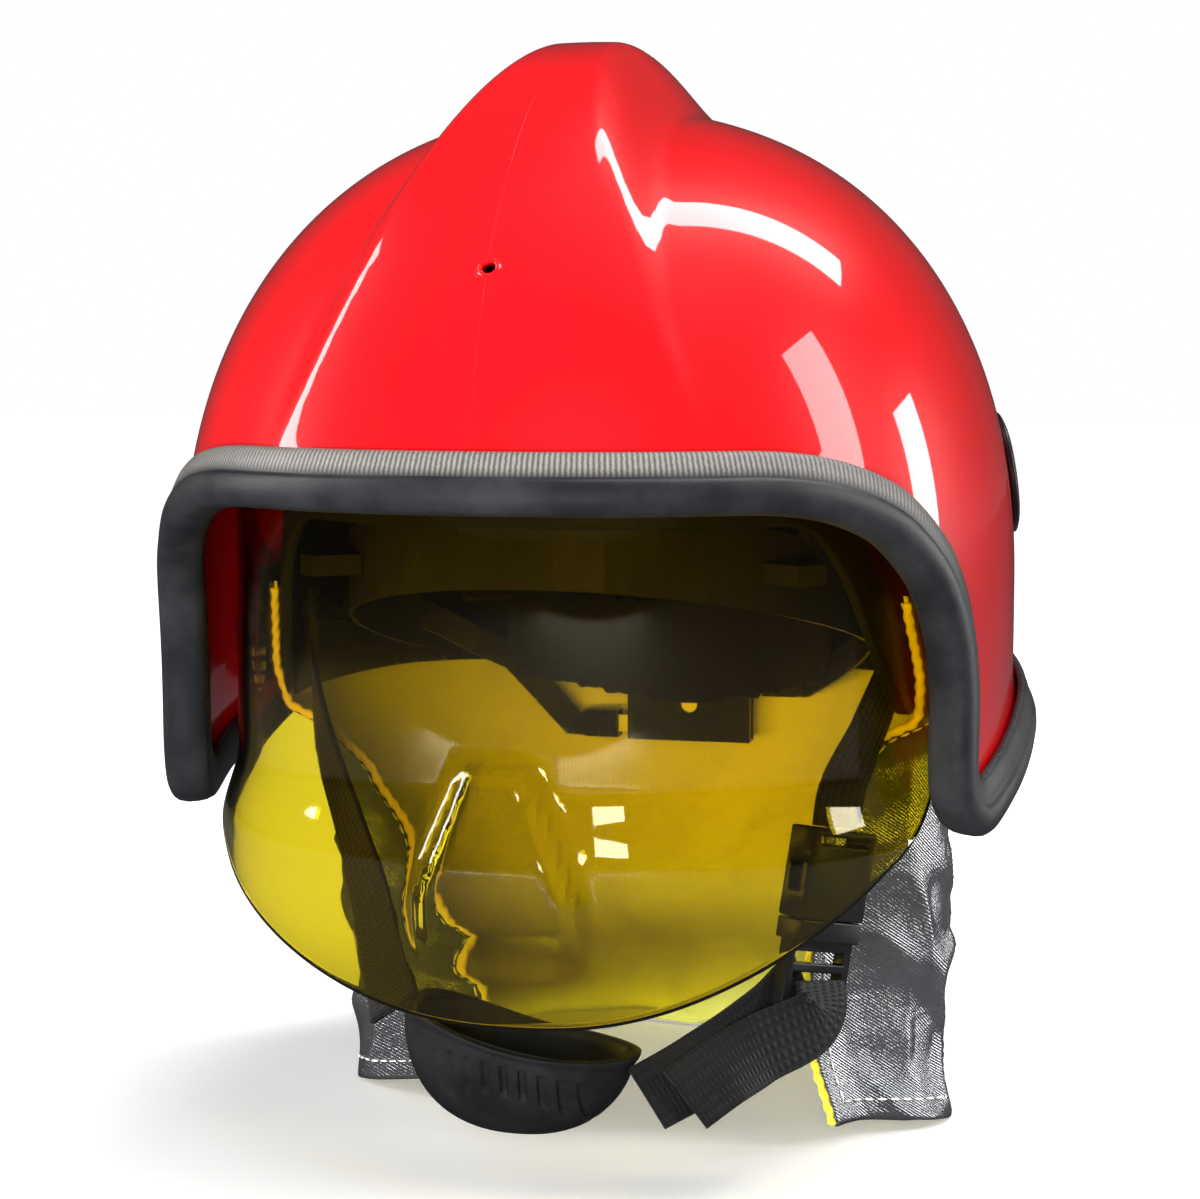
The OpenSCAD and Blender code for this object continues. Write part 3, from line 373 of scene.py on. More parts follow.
# %% Dyed polycarbonate
amber, add, sockets, at = new_finish(
    "amber polycarbonate", Roughness=0.02, IOR=1.585, Transmission_Weight=1.0)
sockets["Base Color"].default_value = linear("#e6cf20")
wiped = add("Mapping", {"Vector": at["Object"], "Scale": (900.0, 900.0, 60.0)})
marks = add("TexNoise", {"Vector": wiped, "Scale": 1.0, "Detail": 2.0})
add("MapRange", {"Value": marks, "From Min": 0.55, "From Max": 0.8, "To Min": 0.015,
                 "To Max": 0.08}, sockets["Roughness"])
swell = cloud(add, at, 22.0, 1.0)
bumps(add, swell, 0.25, 0.35, sockets["Normal"])
# Lamps shine through the dyed sheet instead of being stopped by it.
nodes = amber.node_tree.nodes
lamp_ray = add("LightPath").outputs["Is Shadow Ray"]
let_through = add("BsdfTransparent", {"Color": "#f2e264"})
add("MixShader", {0: lamp_ray, 1: nodes["Principled BSDF"], 2: let_through},
    nodes["Material Output"].inputs["Surface"])

# %% [markdown]
# ### Cloths
# The curtain is a twill cloth with a thin aluminium film pressed on, which picks up every crease. Its
# lining is a plain straw-coloured cloth. Straps are polyester webbing with ribs across the width.
# The twill's real pitch is about 0.5 mm; it is drawn at 1.1 mm so that it shows in the picture.

# %% Aluminised twill
foil_cloth, add, sockets, at = new_finish("aluminised twill", Metallic=0.92, Roughness=0.28)
smudge = cloud(add, at, 26.0, 8.0, Roughness=0.7)
shaded(add, sockets, smudge, "#505256", "#cbccce", (0.14, 0.36))
turned = add("Mapping", {"Vector": at["UV"], "Rotation": (0, 0, math.radians(58))})
twill = add("TexWave", {"Vector": turned, "Scale": waves(1.1), "Distortion": 1.2,
                        "Detail": 2.0, "Detail Scale": 3.0}).outputs["Fac"]
bump = bumps(add, twill, 0.16, 0.7)
crease = cloud(add, at, 70.0, 5.0, Roughness=0.6, Distortion=0.6)
bumps(add, crease, 1.0, 0.7, sockets["Normal"], bump)

# %% Plain and ribbed cloths
def woven(name, dark, light, rough, pitch_mm, height_mm, sheen=0.3):
    """A cloth with ribs across its own UV map."""
    material, add, sockets, at = new_finish(
        name, Roughness=rough, Sheen_Weight=sheen, Sheen_Roughness=0.4)
    worn = cloud(add, at, 60.0, 6.0)
    shaded(add, sockets, worn, dark, light)
    ribs, rows = [add("TexWave", {"Vector": at["UV"], "Scale": waves(pitch_mm),
                                  "Distortion": 0.5, "Detail Scale": 4.0},
                      bands_direction=way).outputs["Fac"] for way in "XY"]
    both = add("Math", {0: ribs, 1: rows}, operation="MULTIPLY")
    bumps(add, both, height_mm, 0.8, sockets["Normal"])
    return material


# Aramid is straw yellow and slightly shiny, webbing is black with a dull sheen, knitted cover cloth
# takes in most light, and sewing thread and cord stand out pale and bright.
lining_cloth = woven("straw aramid cloth", "#d0d054", "#e4e87c", 0.72, 1.3, 0.2)
webbing = woven("black polyester webbing", "#09090a", "#171718", 0.62, 1.6, 0.3, 0.05)
pad_cloth = woven("black knitted pad cloth", "#0b0b0d", "#171719", 0.85, 1.5, 0.2, 0.03)
white_thread = woven("white sewing thread", "#d9d9d4", "#f4f4f0", 0.6, 0.5, 0.05)
gold_cord = woven("yellow aramid cord", "#d8c424", "#f6ec56", 0.5, 0.8, 0.1)

# %% Foams
# Foam moulded from beads shows each bead, about 3 mm wide, with a darker seam round it.
foam, add, sockets, at = new_finish("closed-cell black foam", Roughness=0.85)
beads = add("TexVoronoi", {"Vector": at["Object"], "Scale": 1000 / 3.0})
shaded(add, sockets, beads, "#1f2022", "#121314")
bumps(add, beads, 0.4, 0.6, sockets["Normal"])
print("finishes:", len(bpy.data.materials))

# %% [markdown]
# ## The shell's form
# The shell is a rounded ellipsoid, wider than a plain one. A crest is lifted out of it away from
# the left-right axis: a wide fan over the brow that narrows to a ridge at the crown. The grid runs
# along directions from the crown to the shell's edge, so its last row is the edge itself.

# %% Rounded ellipsoid
# A form's half sizes are sideways, forward, back, up and down. A power above 2 makes it squarer.
SHELL = (122.0, 150.4, 151.4, 143.7, 521.0)
SHELL_POWER = 2.23
CAP = (99.0, 103.0, 130.0, 113.0, 400.0)
CAP_POWER = 2.2
CAP_WALL = 3.0


def heading(az):
    """Level direction at an angle round from the front, in degrees."""
    return Vector((math.sin(math.radians(az)), -math.cos(math.radians(az)), 0))


def halves(v, size):
    """The three half sizes that hold on v's side of the middle."""
    return size[0], size[1] if v[1] < 0 else size[2], size[3] if v[2] > 0 else size[4]


def reach(d, size, power):
    """How far a ray from the origin goes before it meets the surface."""
    return sum((abs(x) / s) ** power for x, s in zip(d, halves(d, size))) ** (-1 / power)


def slope(v, size, power):
    """The surface's outward direction at v."""
    parts = [math.copysign((abs(x) / s) ** (power - 1) / s, x) for x, s in zip(v, halves(v, size))]
    return Vector(parts).normalized()


def width_at(y, z, size, power):
    """Half width of the surface at a place in the side view."""
    _, b, c = halves((0, y, z), size)
    return size[0] * max(0.0001, 1 - (abs(y) / b) ** power - (abs(z) / c) ** power) ** (1 / power)


def ring_point(az, z, size, power):
    """Point on the surface at an angle round from the front and a height."""
    flat = heading(az)
    shrink = (1 - (abs(z) / (size[3] if z > 0 else size[4])) ** power) ** (1 / power)
    return flat * reach(flat, size, power) * shrink + UP * z


# %% Crest
def crest_lift(v):
    """How far the crest moves a point of the plain shell."""
    turn = math.degrees(math.atan2(v[2], -v[1]))
    if turn < 80:
        height = ease((turn - 17) / 63) ** 0.8
    else:
        height = 1 - ease((turn - 80) / 75)
    spread = unit((80 - turn) / 62)
    edge = 31 + 35 * spread ** 1.8
    flat = 8 + 52 * spread ** 1.6
    rise = 19.5 * height * ease((edge - abs(v[0])) / (edge - flat))
    return Vector((0, -math.cos(math.radians(turn)), math.sin(math.radians(turn)))) * rise


def shell_point(d, flare=0.0):
    v = d * reach(d, SHELL, SHELL_POWER)
    return v + crest_lift(v) + slope(v, SHELL, SHELL_POWER) * flare


# %% The shell's edge
# The brow's height; how far in front of the middle the brow's corner starts and the cheek lies; how
# far below it the corner ends, the cheek and the nape lie; and the radius under the cheek.
BROW_Z, BROW_Y, CHEEK_Y = 35.0, 128.0, 62.0
CORNER_Z, CHEEK_Z, NAPE_Z, CHEEK_R = 30.0, 60.0, 36.0, 16.0
EDGE_STEPS = 360


def brow_height(y):
    """Height of the face opening's edge at y: level at the brow, then round the corner."""
    back = max(0, y + BROW_Y) / (BROW_Y - CHEEK_Y)
    return BROW_Z - (BROW_Z + CORNER_Z) * (1 - math.sqrt(max(0, 1 - back ** 2)))


def on_shell(az, z):
    return ring_point(az, z, SHELL, SHELL_POWER)


half_edge = []
for i in range(12):
    first = on_shell(4.4 * i, BROW_Z)
    second = on_shell(4.4 * i, brow_height(first.y))
    half_edge.append(on_shell(4.4 * i, brow_height(second.y)))
side = [(-BROW_Y + (BROW_Y - CHEEK_Y) * math.cos(a), -CORNER_Z + (BROW_Z + CORNER_Z) * math.sin(a))
        for a in [math.radians(x) for x in (40, 32, 24, 16, 8, 0)]]
side += [(-CHEEK_Y + CHEEK_R + CHEEK_R * math.cos(a), -CHEEK_Z + CHEEK_R + CHEEK_R * math.sin(a))
         for a in [math.radians(x) for x in (180, 202.5, 225, 247.5, 270)]]
side += [(-46 + 76 * t, -CHEEK_Z + 18 * t) for t in (0.3, 0.65, 1.0)] + [(60, -NAPE_Z - 2)]
half_edge += [Vector((width_at(y, z, SHELL, SHELL_POWER), y, z)) for y, z in side]
half_edge += [on_shell(az, -NAPE_Z) for az in range(124, 181, 8)]
mirrored = [Vector((-p.x, p.y, p.z)) for p in reversed(half_edge[1:-1])]
edge_line = through(half_edge + mirrored, 8, closed=True)
shell_edge, edge_length = evenly(edge_line, EDGE_STEPS, closed=True)
print(f"the shell's edge is {edge_length:.0f} mm round")

# %% [markdown]
# ## Shell
# The grid's columns follow the edge and its rows climb to the crown. A wall modifier gives the 3 mm
# thickness inward. The little badge hole is a plugged dimple: a ring of dark wall set into the skin.

# %% Outer shell
def toward(crown, rim, t):
    """Direction a share t of the way from the crown to the rim."""
    whole = crown.angle(rim)
    return (crown * math.sin((1 - t) * whole) + rim * math.sin(t * whole)) / math.sin(whole)


rim_directions = [p.normalized() for p in shell_edge]


def shell_place(u, v):
    """Columns leave the crown evenly and drift sideways, so that they meet the edge squarely."""
    t = 1 - v
    rim = rim_directions[round(u * EDGE_STEPS) % EDGE_STEPS]
    rim_turn = math.atan2(rim.x, -rim.y) % (2 * math.pi)
    even_turn = 2 * math.pi * u
    if u > 0.99 and rim_turn < 1:
        rim_turn += 2 * math.pi
    az = even_turn + (rim_turn - even_turn) * t ** 2.5
    down = t * math.acos(rim.z)
    d = Vector((math.sin(down) * math.sin(az), -math.sin(down) * math.cos(az), math.cos(down)))
    return shell_point(d, 3.0 * unit((t - 0.93) / 0.07) ** 2)


shell_mesh = moved_grid(EDGE_STEPS, 120, shell_place)

# %% Badge hole
turn = math.radians(36.5)
hole_at = shell_point(Vector((0, -math.cos(turn), math.sin(turn))))
near = [shell_point(Vector((0, -math.cos(turn + s), math.sin(turn + s)))) for s in (-0.02, 0.02)]
climb = (near[1] - near[0]).normalized()
hole_out = Vector((0, -climb.z, climb.y))


def on_circle(a, radius, depth):
    """Point round the hole's axis; depth is outward."""
    turned = Vector((1, 0, 0)) * math.cos(a) + climb * math.sin(a)
    return hole_at + hole_out * depth + turned * radius


middle = min(shell_mesh.verts, key=lambda vert: (vert.co / MM - hole_at).length)
ring = {vert for face in middle.link_faces for vert in face.verts} - {middle}
bmesh.ops.delete(shell_mesh, geom=[middle], context="VERTS")
for vert in ring:
    away = vert.co / MM - hole_at
    a = math.atan2(away.dot(climb), away.x)
    vert.co = on_circle(a, 2.4, away.dot(hole_out)) * MM
give_wall(make_piece("shell", shell_mesh, red_paint, "outer_shell"), 3.0)
rings = [[on_circle(math.radians(15 * k), radius, depth) for k in range(24)]
         for radius, depth in ((3.0, -0.3), (2.7, 0.04), (2.2, 0.05), (1.9, -0.2), (1.9, -3.2))]
hole_wall = moved_grid(24, 4, lambda u, v: rings[round(v * 4)][round(u * 24) % 24])
give_wall(make_piece("badge_hole_wall", hole_wall, red_paint), 0.3)

# %% [markdown]
# ## Edge beading
# A rubber section with two legs grips the shell's edge. It is drawn as its cross-section swept
# round the edge: a leg that lies on the paint, a crease, and a rounded lip that stands proud.

# %% Beading
# The section's outline, as (outward from the paint, inward from the edge).
BEADING = [(-5.9, 9.0), (-6.2, 4.0), (-6.0, -1.5), (-5.0, -3.4), (-3.0, -4.4), (-0.5, -4.9), (2.5, -5.1),
           (4.9, -4.7), (6.4, -3.6), (7.2, -2.0), (7.5, 0.2), (7.4, 2.0), (7.0, 3.2), (6.5, 3.9),
           (6.0, 4.1), (5.8, 4.7), (5.7, 6.0), (5.1, 8.0), (4.3, 10.2), (3.5, 11.3), (2.4, 11.7),
           (1.5, 11.2), (2.4, 6.0), (4.0, 0.6), (3.4, -0.8), (-0.8, -0.8), (-3.7, 0.6), (-3.7, 9.0),
           (-4.8, 9.6)]
stations = []
for i, point in enumerate(shell_edge):
    tangent = (shell_edge[(i + 1) % EDGE_STEPS] - shell_edge[i - 1]).normalized()
    out = slope(point, SHELL, SHELL_POWER)
    inward = out.cross(tangent).normalized()
    stations.append([point + out * a + inward * b for a, b in BEADING])
make_piece("edge_trim", swept(stations, closed=True, cut=(edge_length, 60)), trim_rubber, "edge_beading")

# %% [markdown]
# ## Inner cap and liner
# Two smooth bowls nest under the shell. They use the same grid as the shell, with their own rims.

# %% Bowls under the shell
def cap_rim(az):
    return 24 - 58 * ease((az - 44) / 30) - 4 * ease((az - 120) / 50)


def bowl(name, size, rim_height, wall, material, stands_for):
    """A bowl under the shell, with its rim at rim_height(angle from the front)."""
    rim = [ring_point(az, rim_height(min(az, 360 - az)), size, CAP_POWER).normalized()
           for az in range(0, 360, 3)]

    def place(u, v):
        d = UP if v > 0.999 else toward(UP, rim[round(u * 120) % 120], 1 - v)
        return d * reach(d, size, CAP_POWER)

    give_wall(make_piece(name, moved_grid(120, 40, place), material, stands_for), wall, 0.8)


LINER_GAP, LINER_WALL = 1.4, 11.0
LINER = tuple(s - CAP_WALL - LINER_GAP for s in CAP)
bowl("cap_under_shell", CAP, cap_rim, CAP_WALL, black_cap, "inner_cap")
bowl("foam_bowl", LINER, lambda az: 18 + 22 * math.cos(math.radians(az)), LINER_WALL, foam, "foam_liner")

# %% [markdown]
# ## Face shield
# In plan the shield is a rounded curve round the face. It widens at a bend near the mouth, draws in
# to the chin, and swells over the nose. It is one sheet, 3 mm thick, with a polished edge.

# %% Shield form
SHIELD_SIDE, SHIELD_FRONT, SHIELD_T, SHIELD_POWER, BEND_Z = 108.5, 122.0, 3.0, 2.3, -68.0
SHIELD_TURN = 87.3  # degrees from the front to each side


def shield_plan(a, z):
    """Point of the shield at an angle round from the front and a height, without the nose."""
    grow = 5.5 * ease((-44 - z) / 24)
    tuck = 15 * unit((BEND_Z - 8 - z) / 38) ** 2
    p = 2 / SHIELD_POWER
    across = (SHIELD_SIDE + grow - tuck) * math.copysign(abs(math.sin(a)) ** p, a)
    return Vector((across, -(SHIELD_FRONT + grow * 0.5 - tuck) * abs(math.cos(a)) ** p, z))


def nose_lift(v):
    """How far the shield swells forward at v to leave room for the nose."""
    width = 13 + 14 * unit((-40 - v.z) / 35)
    return 5 * ease((width - abs(v.x)) / 8) * ease((-36 - v.z) / 8) * ease((v.z + 98) / 16)


def shield_low(a):
    """Height of the lower edge: a wide tongue in front, then a straight climb to the pivots."""
    v = shield_plan(a, BEND_Z)
    if v.y < -68:
        return -114 + 44 * (abs(v.x) / 100.5) ** 2.6
    return -70 + (v.y + 68) * 0.62


def shield_high(a):
    """Height of the upper edge, which is hidden behind the shell's brow."""
    return 36 - 34 * ease((shield_plan(a, 0).y + 80) / 80)


def shield_place(u, v):
    a = math.radians(SHIELD_TURN) * (2 * u - 1)
    low, high = shield_low(a), shield_high(a)
    point = shield_plan(a, low + (high - low) * v)
    return point - Vector((0, nose_lift(point), 0))


visor = make_piece("visor", moved_grid(150, 84, shield_place), amber, "face_shield",
                   "shield")
give_wall(visor, SHIELD_T, 0.7)

# %% [markdown]
# ## Rounded copies
# The moulded fittings already have their right shape in the frame. A copy is merged, its flat faces
# are joined, and its sharp edges are rounded, because a moulding never has a knife edge.

# %% Round the edges of a copy
def rounded_copy(node, material, width, body="helmet"):
    bm = bmesh.new()
    bm.from_mesh(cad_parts[node].data)
    bmesh.ops.remove_doubles(bm, verts=bm.verts, dist=0.00002)
    bmesh.ops.dissolve_limit(bm, angle_limit=math.radians(4), verts=bm.verts, edges=bm.edges)
    piece = make_piece(node + "_rounded", bm, material, node, body)
    round_edges(piece, width, 2, 38).harden_normals = True


rounded_copy("buckle_socket", black_nylon, 0.7)
rounded_copy("buckle_plug", black_nylon, 0.5, "plug")
rounded_copy("ratchet_knob", black_nylon, 0.4, "knob")
rounded_copy("ratchet_housing", band_plastic, 0.4)
rounded_copy("ratchet_cover", band_plastic, 0.4)
for side_name in ("left", "right"):
    rounded_copy("shield_hinge_" + side_name, black_nylon, 0.5, "shield")
    rounded_copy("hinge_bracket_" + side_name, black_nylon, 0.4)

# %% Finishes for the parts that stay
kept = {
    foam: "crown_spacer rear_spacer",
    plated_steel: "shield_rivets pivot_stud_left pivot_stud_right pivot_nuts side_screws curtain_studs "
                  "strap_rivets",
    washer_acetal: "friction_washers",
    band_plastic: "headband harness_clips nape_strap_left nape_strap_right",
    white_acetal: "ratchet_pinion rack_left rack_right",
}
for material, names in kept.items():
    for node in names.split():
        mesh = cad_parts[node].data
        mesh.materials.clear()
        mesh.materials.append(material)

# %% [markdown]
# ## Side covers
# An oval plate lies on the shell behind each temple and hides the bracket's screw.

# %% Side covers
def cover_place(side):
    def place(u, v):
        a, r = 2 * math.pi * u, 1 - v
        y, z = 59 + 23 * r * math.cos(a), 33 + 19 * r * math.sin(a)
        lift = 2.1 + 0.6 * ease((1 - r) / 0.14) - 0.35 * ease(1 - abs(r - 0.72) / 0.06)
        return side * (width_at(y, z, SHELL, SHELL_POWER) + lift), y, z
    return place


for side_name, side in (("left", 1), ("right", -1)):
    bm = moved_grid(72, 30, cover_place(side))
    if side < 0:
        bmesh.ops.reverse_faces(bm, faces=bm.faces)
    cover = make_piece("side_plate_" + side_name, bm, black_nylon, "side_cover_" + side_name)
    give_wall(cover, 1.8, 0.5)

# %% [markdown]
# ## Neck curtain
# The curtain hangs from the cap's rim round the neck, and its front edges turn in under the cheeks.
# Cloth simulation could hang it, but the photographed folds are known, so the form is drawn and a
# layered noise adds the crumples. The lining follows the same form 1.6 mm further in. Both grids
# face the neck, so their walls stand outward of the drawn form.

# %% Curtain form
CURTAIN = (101.9, 105.9, 132.9, 113.0, 400.0)
HEM = (104.0, 106.4, 118.0, 113.0, 400.0)
# The hem's depth, the share of the rows that lies on the cap, and the depth below which it hangs free.
HEM_Z, HELD, FREE = 165.0, 1 / 8, 41.0
EDGE_AZ = 68  # degrees from the front to the edge's upper end


def curtain_top(az):
    return -31 + 33 * ease((84 - az) / 16)


# Where each front edge runs, as (height, sideways, back), read off the photograph.
FRONT_EDGE = {
    "right": [(2, 97, -39), (-24, 100, -31), (-37, 98, -26), (-44, 83, -24), (-57, 68.5, -27),
              (-75, 57, -27), (-97, 47, -28), (-111, 40, -28), (-125, 33, -28), (-151, 27, -28)],
    "left": [(2, 97, -39), (-24, 100, -29), (-36, 99, -23), (-44, 85, -16), (-52, 78.5, -18),
             (-68, 71, -20), (-95, 68, -20), (-122, 66.5, -20), (-140, 69, -20), (-160, 75, -20)],
}


def front_edge(side_name, z):
    """Place of the front edge at a height, for the side's own positive x."""
    knots = FRONT_EDGE[side_name]
    for high, low in zip(knots, knots[1:]):
        if z >= low[0]:
            share = unit((high[0] - z) / (high[0] - low[0]))
            t = ease(share) * 0.4 + share * 0.6
            return Vector((high[1] + (low[1] - high[1]) * t, high[2] + (low[2] - high[2]) * t, 0))
    return Vector((knots[-1][1], knots[-1][2], 0))


def hung_reach(flat, below):
    """How far out the curtain hangs, from the cap's rim (below = 0) to the hem (below = 1)."""
    return reach(flat, CURTAIN, CAP_POWER) * (1 - below) + reach(flat, HEM, CAP_POWER) * below


def curtain_flat(s, v, inset):
    """The curtain without crumples: s runs from the right front edge round to the left one."""
    right = s < 0.5
    half = 2 * s if right else 2 - 2 * s
    top_az = EDGE_AZ + (180 - EDGE_AZ) * half
    low = -HEM_Z + (14 if right else 5) * ease((0.3 - half) / 0.3)  # the front corners hang shorter
    high = curtain_top(top_az)
    if v < HELD:
        z = high - (high + FREE) * v / HELD
    else:
        z = -FREE + (low + FREE) * (v - HELD) / (1 - HELD)
    below = unit((-FREE - z) / (HEM_Z - FREE))
    fold = 4 * below * math.sin(math.radians(top_az) * 9) * ease(half * 5)
    flat, start = heading(top_az), heading(EDGE_AZ)
    place = flat * (hung_reach(flat, below) + fold - inset)
    start = start * hung_reach(start, below)
    drawn = (front_edge("right" if right else "left", z) - start) * ease((0.32 - half) / 0.32) ** 0.85
    if right:
        drawn.x -= 10 * below * ease((0.8 - half) / 0.5) * ease(half / 0.2)
    facing = (flat + Vector((-drawn.y, drawn.x, 0)) * -0.012).normalized()
    place += drawn
    mirror = -1 if right else 1
    return Vector((mirror * place.x, place.y, z)), Vector((mirror * facing.x, facing.y, 0)), below


def ridge(cell):
    """Sharp folds where a noise changes sign, as a crease in foil has."""
    return 1 - 2 * min(1, abs(noise.noise(cell)) * 3)


def curtain_place(inset):
    def place(u, v):
        point, out, below = curtain_flat(u, 1 - v, inset)
        cell = Vector((u * 9, 0, v * 3.2))
        crumple = noise.noise(cell) * 3.8 + ridge(cell * 1.7) * 1.4 + noise.noise(cell * 4.1) * 0.5
        near_edge = 0.06 + 0.94 * ease(min(u, 1 - u) / 0.13)
        return point + out * crumple * near_edge * ease(below * 2.6)
    return place


CURTAIN_CUT = (470.0, 160.0)
FOIL_THICK = 1.1
curtain = make_piece("neck_cape", moved_grid(330, 96, curtain_place(0.0), CURTAIN_CUT), foil_cloth,
                     "neck_curtain")
give_wall(curtain, FOIL_THICK)
lining = make_piece("cape_lining", moved_grid(240, 70, curtain_place(1.6), CURTAIN_CUT), lining_cloth,
                    "curtain_lining")
give_wall(lining, 0.8)

# %% [markdown]
# ## Stitches, binding and fastening strip
# The hem and the two front edges are turned and sewn with thick white thread. A yellow cord binds
# the front edges. Each stitch is a small drop of thread, so hundreds of them stay light.

# %% Stitches
STITCH, STITCH_GAP, THREAD_R = 3.4, 1.0, 0.42
EDGE_U, HEM_V = 7.0 / CURTAIN_CUT[0], 0.045


def on_foil(points_uv, lift=0.25):
    """Points over the foil's outer face; the wall stands outward from the drawn form."""
    place = curtain_place(0.0)
    line = []
    for u, v in points_uv:
        here = place(u, v)
        out = (place(u, v + 0.002) - here).cross(place(u + 0.002, v) - here).normalized()
        line.append(here + out * (FOIL_THICK + lift))
    return line


def stitch_row(name, points_uv):
    """A row of stitches along a line on the foil, each lying on the cloth."""
    line = on_foil(points_uv)
    points, _ = evenly(line, int(total_length(line) / (STITCH + STITCH_GAP)))
    bm = bmesh.new()
    for i, (a, b) in enumerate(zip(points, points[1:])):
        run = (b - a).normalized()
        u = points_uv[int(i / (len(points) - 1) * (len(points_uv) - 1))][0]
        out = curtain_flat(u, 0.95, 0)[1]
        side = out.cross(run).normalized()
        made = bmesh.ops.create_uvsphere(bm, u_segments=6, v_segments=5, radius=1.0)
        for vert in made["verts"]:
            x, y, z = vert.co
            vert.co = (a.lerp(b, 0.5) + side * x * THREAD_R + out * y * THREAD_R * 0.8
                       + run * z * STITCH / 2) * MM
    bmesh.ops.recalc_face_normals(bm, faces=bm.faces)
    return make_piece(name, bm, white_thread)


hem = [(EDGE_U + (1 - 2 * EDGE_U) * k / 400, HEM_V) for k in range(401)]
sewing = [stitch_row("hem_stitches", hem)]
for label, u in (("right", EDGE_U), ("left", 1 - EDGE_U)):
    edge = [(u, HEM_V + 0.9 * k / 120) for k in range(121)]
    sewing.append(stitch_row("edge_stitches_" + label, edge))

# %% Yellow cord binding
def cord_binding(name, line, radius, material):
    """A two-ply cord: the ring's radius swells twice, and the swelling turns along the line."""
    step, lay = 0.9, 4.5
    points, total = evenly(line, int(total_length(line) / step))
    stations = []
    for i, point in enumerate(points):
        run = (points[min(i + 1, len(points) - 1)] - points[max(i - 1, 0)]).normalized()
        side = run.cross(Vector((0.3, 1, 0.2))).normalized()
        other = run.cross(side)
        ring = []
        for k in range(10):
            a = 2 * math.pi * k / 10
            r = radius * (1 + 0.2 * math.cos(2 * (a - i * step / lay * math.pi)))
            ring.append(point + (side * math.cos(a) + other * math.sin(a)) * r)
        stations.append(ring)
    return make_piece(name, swept(stations, cut=(total, 2 * math.pi * radius)), material)


for label, u in (("right", 0.0), ("left", 1.0)):
    line = [curtain_place(0.9)(u, 0.004 + 0.99 * k / 120) for k in range(121)]
    cord_binding("edge_cord_" + label, line, 1.3, gold_cord)

# %% Fastening strip
strip_stations = []
for k in range(161):
    flat = heading(180 + (k - 80) * 0.975)
    out = reach(flat, CURTAIN, CAP_POWER) + 0.4
    strip_stations.append([flat * (out + a) + UP * (-36.5 + b) for a, b in
                           ((0, -3.5), (0.9, -3.5), (1.2, -3.1), (1.2, 3.1), (0.9, 3.5), (0, 3.5))])
make_piece("top_strip", swept(strip_stations, cut=(330, 20)), webbing, "curtain_strip")

# %% [markdown]
# ## Straps
# Webbing is woven flat with a slightly thicker edge. Each strap is that section swept along a smooth
# line, and its face turns gently from one point to the next.

# %% Webbing
# One face of the section, as shares of half the width and of the thickness; the other is its twin.
WEB_FACE = [(-1.0, -0.35), (-0.985, -0.5), (-0.9, -0.5), (-0.5, -0.44), (0.0, -0.42), (0.5, -0.44),
            (0.9, -0.5), (0.985, -0.5), (1.0, -0.35)]
WEB_SECTION = WEB_FACE + [(-a, -b) for a, b in WEB_FACE]


def strap(name, path, faces, width, thick, stands_for, body="helmet"):
    """A webbing strap through the path's points, with its face looking along faces."""
    line = through(path, 10)
    faces = [faces[min(i, len(faces) - 1)] for i in range(len(path))]  # the last face is kept
    looks = [faces[i].lerp(faces[i + 1], k / 10) for i in range(len(path) - 1) for k in range(10)]
    looks.append(faces[-1])
    length = total_length(line)
    stations = []
    for i, point in enumerate(line):
        run = (line[min(i + 1, len(line) - 1)] - line[max(i - 1, 0)]).normalized()
        across = run.cross(looks[i]).normalized()
        out = across.cross(run)
        stations.append([point + across * a * width / 2 + out * b * thick for a, b in WEB_SECTION])
    bm = swept(stations, cut=(length, 2 * width))
    piece = make_piece(name, bm, webbing, stands_for, body)
    print(f"{name} is {length:.0f} mm long")
    return piece


# %% Chin strap
BUCKLE_MID = Vector((77, -48, -78))
tilt, az = math.radians(11.5), math.radians(53)
BUCKLE_UP = Vector((math.sin(tilt) * math.cos(az), math.sin(tilt) * math.sin(az), math.cos(tilt)))
BUCKLE_OUT = Vector((0.866, -0.5, 0))
# Where a strap's face looks, from the cap's side down to the chin.
CHEEK = [Vector(v) for v in ((0.988, -0.157, 0), (0.97, -0.25, 0), (0.85, -0.5, 0), (0.8, -0.6, 0.1),
                             (0.6, -0.7, 0.3), (0.5, -0.75, 0.4))]
WEB, FIXED, LOOSE = 20, 1.6, 1.4  # width, and the thickness of the fixed and of the adjusting part
inner_x = CAP[0] - CAP_WALL - 4.4
right_path = [(-inner_x, -18, -1), (-inner_x + 1, -21, -20), (-80, -40.5, -42), (-64, -58, -70),
              (-48, -78, -98), (-40.1, -89.2, -115.1)]
right_faces = [Vector((-v.x, v.y, v.z)) for v in CHEEK]
strap("strap_right", right_path, right_faces, WEB, FIXED, "chin_strap_right")
socket_top = BUCKLE_MID + BUCKLE_UP * 12
left_path = [(inner_x, -18, -1), (inner_x - 1, -21, -20), (85, -36.5, -40), socket_top + BUCKLE_UP * 12,
             socket_top + BUCKLE_UP * 1.6]
strap("strap_left", left_path, [CHEEK[0], CHEEK[0], CHEEK[1], BUCKLE_OUT, BUCKLE_OUT], WEB, FIXED,
      "chin_strap_left")
ladder_mid = BUCKLE_MID - BUCKLE_UP * (13 + 6 + 19 * 0.6)
lower_start, lower_end = ladder_mid - BUCKLE_OUT * 3.4, Vector((34.4, -92.2, -135.4))


def lower_point(t):
    return lower_start.lerp(lower_end, t) + Vector((2, -3, -2)) * math.sin(t * math.pi)


